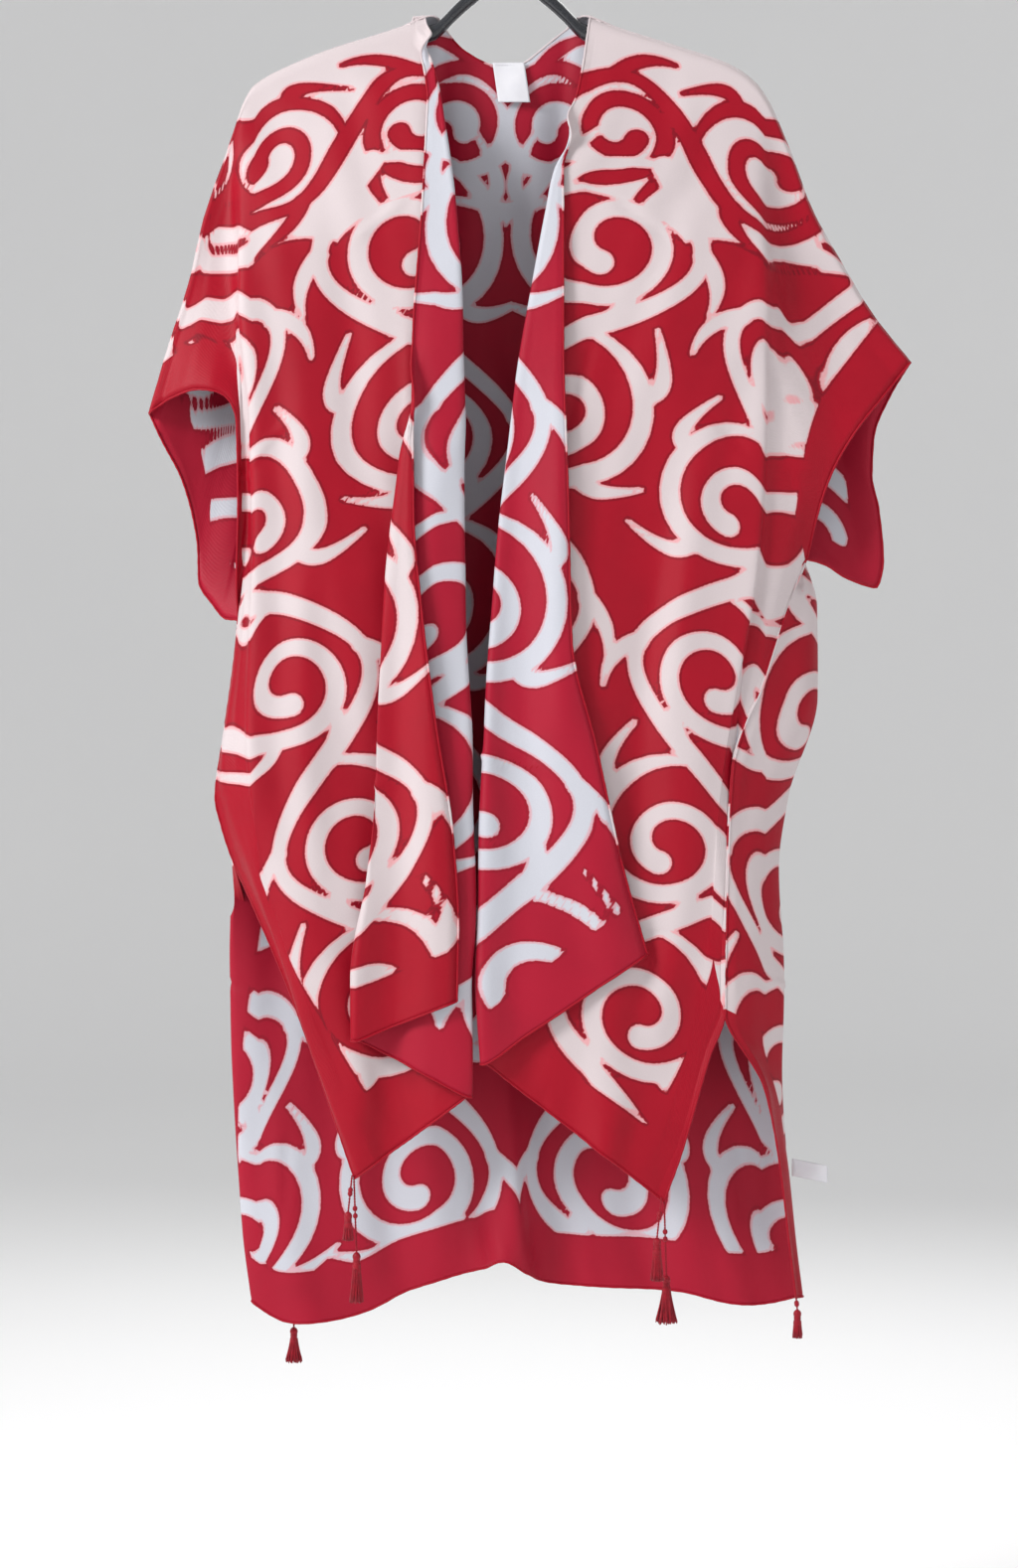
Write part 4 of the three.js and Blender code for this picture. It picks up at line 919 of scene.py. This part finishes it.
def tassel(name, x, y, z, lean_x, lean_y, cord, skirt, wide):
    """Twisted cord with two knots, a wrapped head and a skirt of fine yarns."""
    parts = []

    def axis(dz):
        f = min(1, -dz / cord)
        return np.array([x + lean_x * f, y + lean_y * f, z + dz])

    steps = np.linspace(0, -cord - 1, max(12, int(cord / 1.2)))
    for phase in (0, math.pi):
        twist = [axis(s) + 0.42 * np.array([math.cos(s * 1.3 + phase), math.sin(s * 1.3 + phase), 0])
                 for s in steps]
        parts.append(tube_points(twist, 0.55, 6))
    for at_share in (0.4, 0.5):
        s = -cord * at_share
        profile = [(2.2, 0.9), (1.3, 1.9), (0, 2.2), (-1.3, 1.9), (-2.2, 0.9)]
        parts.append(tube_points([axis(s + dz) for dz, _ in profile], [r for _, r in profile], 10))
    profile = [(0.5, 1.0), (-0.8, 2.6), (-2.5, 3.4), (-4.5, 3.3), (-6, 2.5), (-7.2, 2.3), (-9, 3.1),
               (-HEAD, 3.5), (-HEAD - 3, 3.3)]
    parts.append(tube_points([axis(-cord + dz) for dz, _ in profile], [r for _, r in profile], 16))
    wrap = []
    for i in range(70):
        a, dz = i * 0.55, -cord - 5.6 - i * 0.034
        wrap.append(axis(dz) + 2.75 * np.array([math.cos(a), math.sin(a), 0]))
    parts.append(tube_points(wrap, 0.34, 5))
    for i in range(YARNS):
        ring = math.sqrt((i + 0.5) / YARNS)
        a = i * 2.39996 + RANDOM.uniform(-0.2, 0.2)
        drop = skirt - RANDOM.uniform(0, 3.0)
        lean = RANDOM.uniform(-0.7, 0.7)
        line = []
        for f in np.linspace(0, 1, 6):
            r = mix(2.9, wide * 0.92, f ** 1.3) * ring
            dz = mix(-cord - HEAD + 2, -cord - drop, f)
            point = axis(dz) + r * np.array([math.cos(a + lean * f * 0.4),
                                             math.sin(a + lean * f * 0.4), 0])
            line.append(point)
        parts.append(tube_points(line, mix(0.55, 0.42, i % 3 / 2), 4))
    vertices, faces = gather(parts)
    piece = mesh_object(name + "_yarn", vertices, faces, [YARN])
    return finished(piece, "tassel_yarn", name)


def hanger():
    """Moulded hanger: two arms, a neck and a hook, as smooth swept forms."""
    inner = [(0, -71), (14, -77), (28, -87), (46, -103.5)]
    under = ARM_HALF_Z + ARM_CLEAR + WALL / 2

    def sag(q):
        return 5.6 if q < 66 else 0.3 + 2.6 * ease((q - 130) / 50)

    def half(sg):
        rows = [(sg * x, z, 1) for x, z in (inner if sg < 0 else inner[1:])]
        for q in (62, 84, 110, 130, 149, 170, 186, 197, 202):
            rows.append((sg * q, shoulder_height(sg * q) - under - sag(q), 1))
        rows.append((sg * 206, shoulder_height(sg * 206) - under - sag(206) - 0.6, 0.8))
        rows.append((sg * 208.5, shoulder_height(sg * 208.5) - under - sag(206) - 1.2, 0.45))
        return rows

    line = half(-1)[::-1] + half(1)
    sides = 28
    a = np.linspace(0, 2 * np.pi, sides, endpoint=False)
    fine = []
    for (x0, z0, k0), (x1, z1, k1) in zip(line, line[1:]):
        fine += [(mix(x0, x1, f), mix(z0, z1, f), mix(k0, k1, f)) for f in (0, 0.25, 0.5, 0.75)]
    fine.append(line[-1])
    xs = np.array([p[0] for p in fine])
    zs = np.array([p[1] for p in fine])
    for _ in range(3):
        zs[1:-1] = (zs[:-2] + 2 * zs[1:-1] + zs[2:]) / 4
    vertices = np.concatenate([np.stack([np.full(sides, x), ARM_HALF_Y * k * np.cos(a),
                                         z - 0.2 + ARM_HALF_Z * k * np.sin(a)], axis=1)
                               for x, z, k in zip(xs, zs, [p[2] for p in fine])])
    faces = []
    for i in range(len(fine) - 1):
        for k in range(sides):
            j = (k + 1) % sides
            faces.append([i * sides + k, i * sides + j, (i + 1) * sides + j, (i + 1) * sides + k])
    faces.append(list(range(sides))[::-1])
    faces.append([(len(fine) - 1) * sides + k for k in range(sides)])
    centre = HOOK_WIRE - HOOK_BEND
    route = [(0, -72), (0, -60), (1, -54), (5, -47), (11.5, centre - 19.5), (17.5, centre - 13.4),
             (21, centre - 6.5)]
    for degrees in range(0, 201, 8):
        r = math.radians(degrees)
        route.append((HOOK_BEND * math.cos(r), centre + HOOK_BEND * math.sin(r)))
    hook = tube_points([(x, 0, z) for x, z in route], HOOK_WIRE, 20)
    boss = tube_points([(0, 0, -76), (0, 0, -70), (0, 0, -66), (0, 0, -62), (0, 0, -59.5)],
                       [7.6, 8.5, 7.6, 5.6, 4], 28)
    vertices, faces = gather([(vertices, faces), hook, boss])
    piece = mesh_object("hanger_moulded", vertices, faces, [PLASTIC])
    return finished(piece, "hanger_plastic", "hanger")


def area_light(name, place, size, power, target):
    data = bpy.data.lights.new(name, "AREA")
    data.size, data.energy = size, power
    lamp = bpy.data.objects.new(name, data)
    lamp.location = place
    lamp.rotation_mode = "QUATERNION"
    lamp.rotation_quaternion = (Vector(target) - Vector(place)).to_track_quat("-Z", "Y")
    bpy.context.scene.collection.objects.link(lamp)


def backdrop():
    """Pale floor that sweeps up into a wall all round."""
    sides = 96
    profile = [(0.001, FLOOR_Z), (3.0, FLOOR_Z)]
    for i in range(17):
        a = math.pi / 2 * i / 16
        profile.append((WALL_RADIUS - WALL_BEND + WALL_BEND * math.sin(a),
                        FLOOR_Z + WALL_BEND - WALL_BEND * math.cos(a)))
    profile.append((WALL_RADIUS, WALL_TOP))
    points, faces, n = [], [], len(profile)
    for k in range(sides):
        a = 2 * math.pi * k / sides
        points += [(r * math.cos(a) / MM, r * math.sin(a) / MM, z / MM) for r, z in profile]
        j = (k + 1) % sides
        faces += [[k * n + i, k * n + i + 1, j * n + i + 1, j * n + i] for i in range(n - 1)]
    material, tree, shader = material_base("pale_floor", 0.9, specular=0.1)
    place = tree.nodes.new("ShaderNodeTexCoord").outputs["Object"]
    tone = node_noise(tree, place, 0.8)
    tree.links.new(node_mix(tree, tone, (0.93, 0.93, 0.935), (0.96, 0.96, 0.96)),
                   shader.inputs["Base Color"])
    mesh_object("floor", points, faces, [material])


def studio():
    scene = bpy.context.scene
    scene.view_settings.view_transform = "Standard"
    world = bpy.data.worlds.new("studio")
    world.use_nodes = True
    world.node_tree.nodes["Background"].inputs[0].default_value = (1.0, 1.0, 1.0, 1)
    world.node_tree.nodes["Background"].inputs[1].default_value = 0.55
    scene.world = world
    backdrop()
    area_light("key", (-2.4, -1.7, 0.8), 1.0, 92, (0, 0, -0.6))
    area_light("fill", (2.4, -2.4, -0.3), 2.4, 16, (0, 0, -0.7))
    area_light("behind", (0.4, 2.2, 0.9), 2.2, 34, (0, 0, -0.6))
    camera = bpy.data.cameras.new("camera")
    camera.lens, camera.sensor_width = 70.6, 36
    camera.clip_end = 60
    holder = bpy.data.objects.new("camera", camera)
    holder.location = (0, -2.6, -0.7552)
    holder.rotation_euler = (math.pi / 2, 0, 0)
    scene.collection.objects.link(holder)
    scene.camera = holder


panels = make_panels()
hanger()
for row in TASSELS:
    tassel(*row)
neck_corners = [(-14, 9.4, -143), (13, 9.4, -143), (18, 9.4, -177), (-9, 9.4, -177)]
care_corners = [(240.9, 19, -1074), (271, 19, -1080), (271, 19, -1095), (240.9, 19, -1089)]
neck_piece = label("neck_label_cloth", "neck_label", neck_corners, 24, 18, -1.4)
care_piece = label("care_label_cloth", "care_label", care_corners, 10, 22, 0)
stitches("neck_label_stitches", (-12.5, 9.0, -145.2), (12, 9.0, -145.2), 2.4, 0.35)
stitches("care_label_stitches", (243.2, 18.6, -1075.5), (243.2, 18.6, -1088), 2.2, 0.3)
# The panels aren't rectangles: make_panels gives each one's mean length and modelled area,
# which say how much cloth is modelled and aren't measured from the real cut
studio()
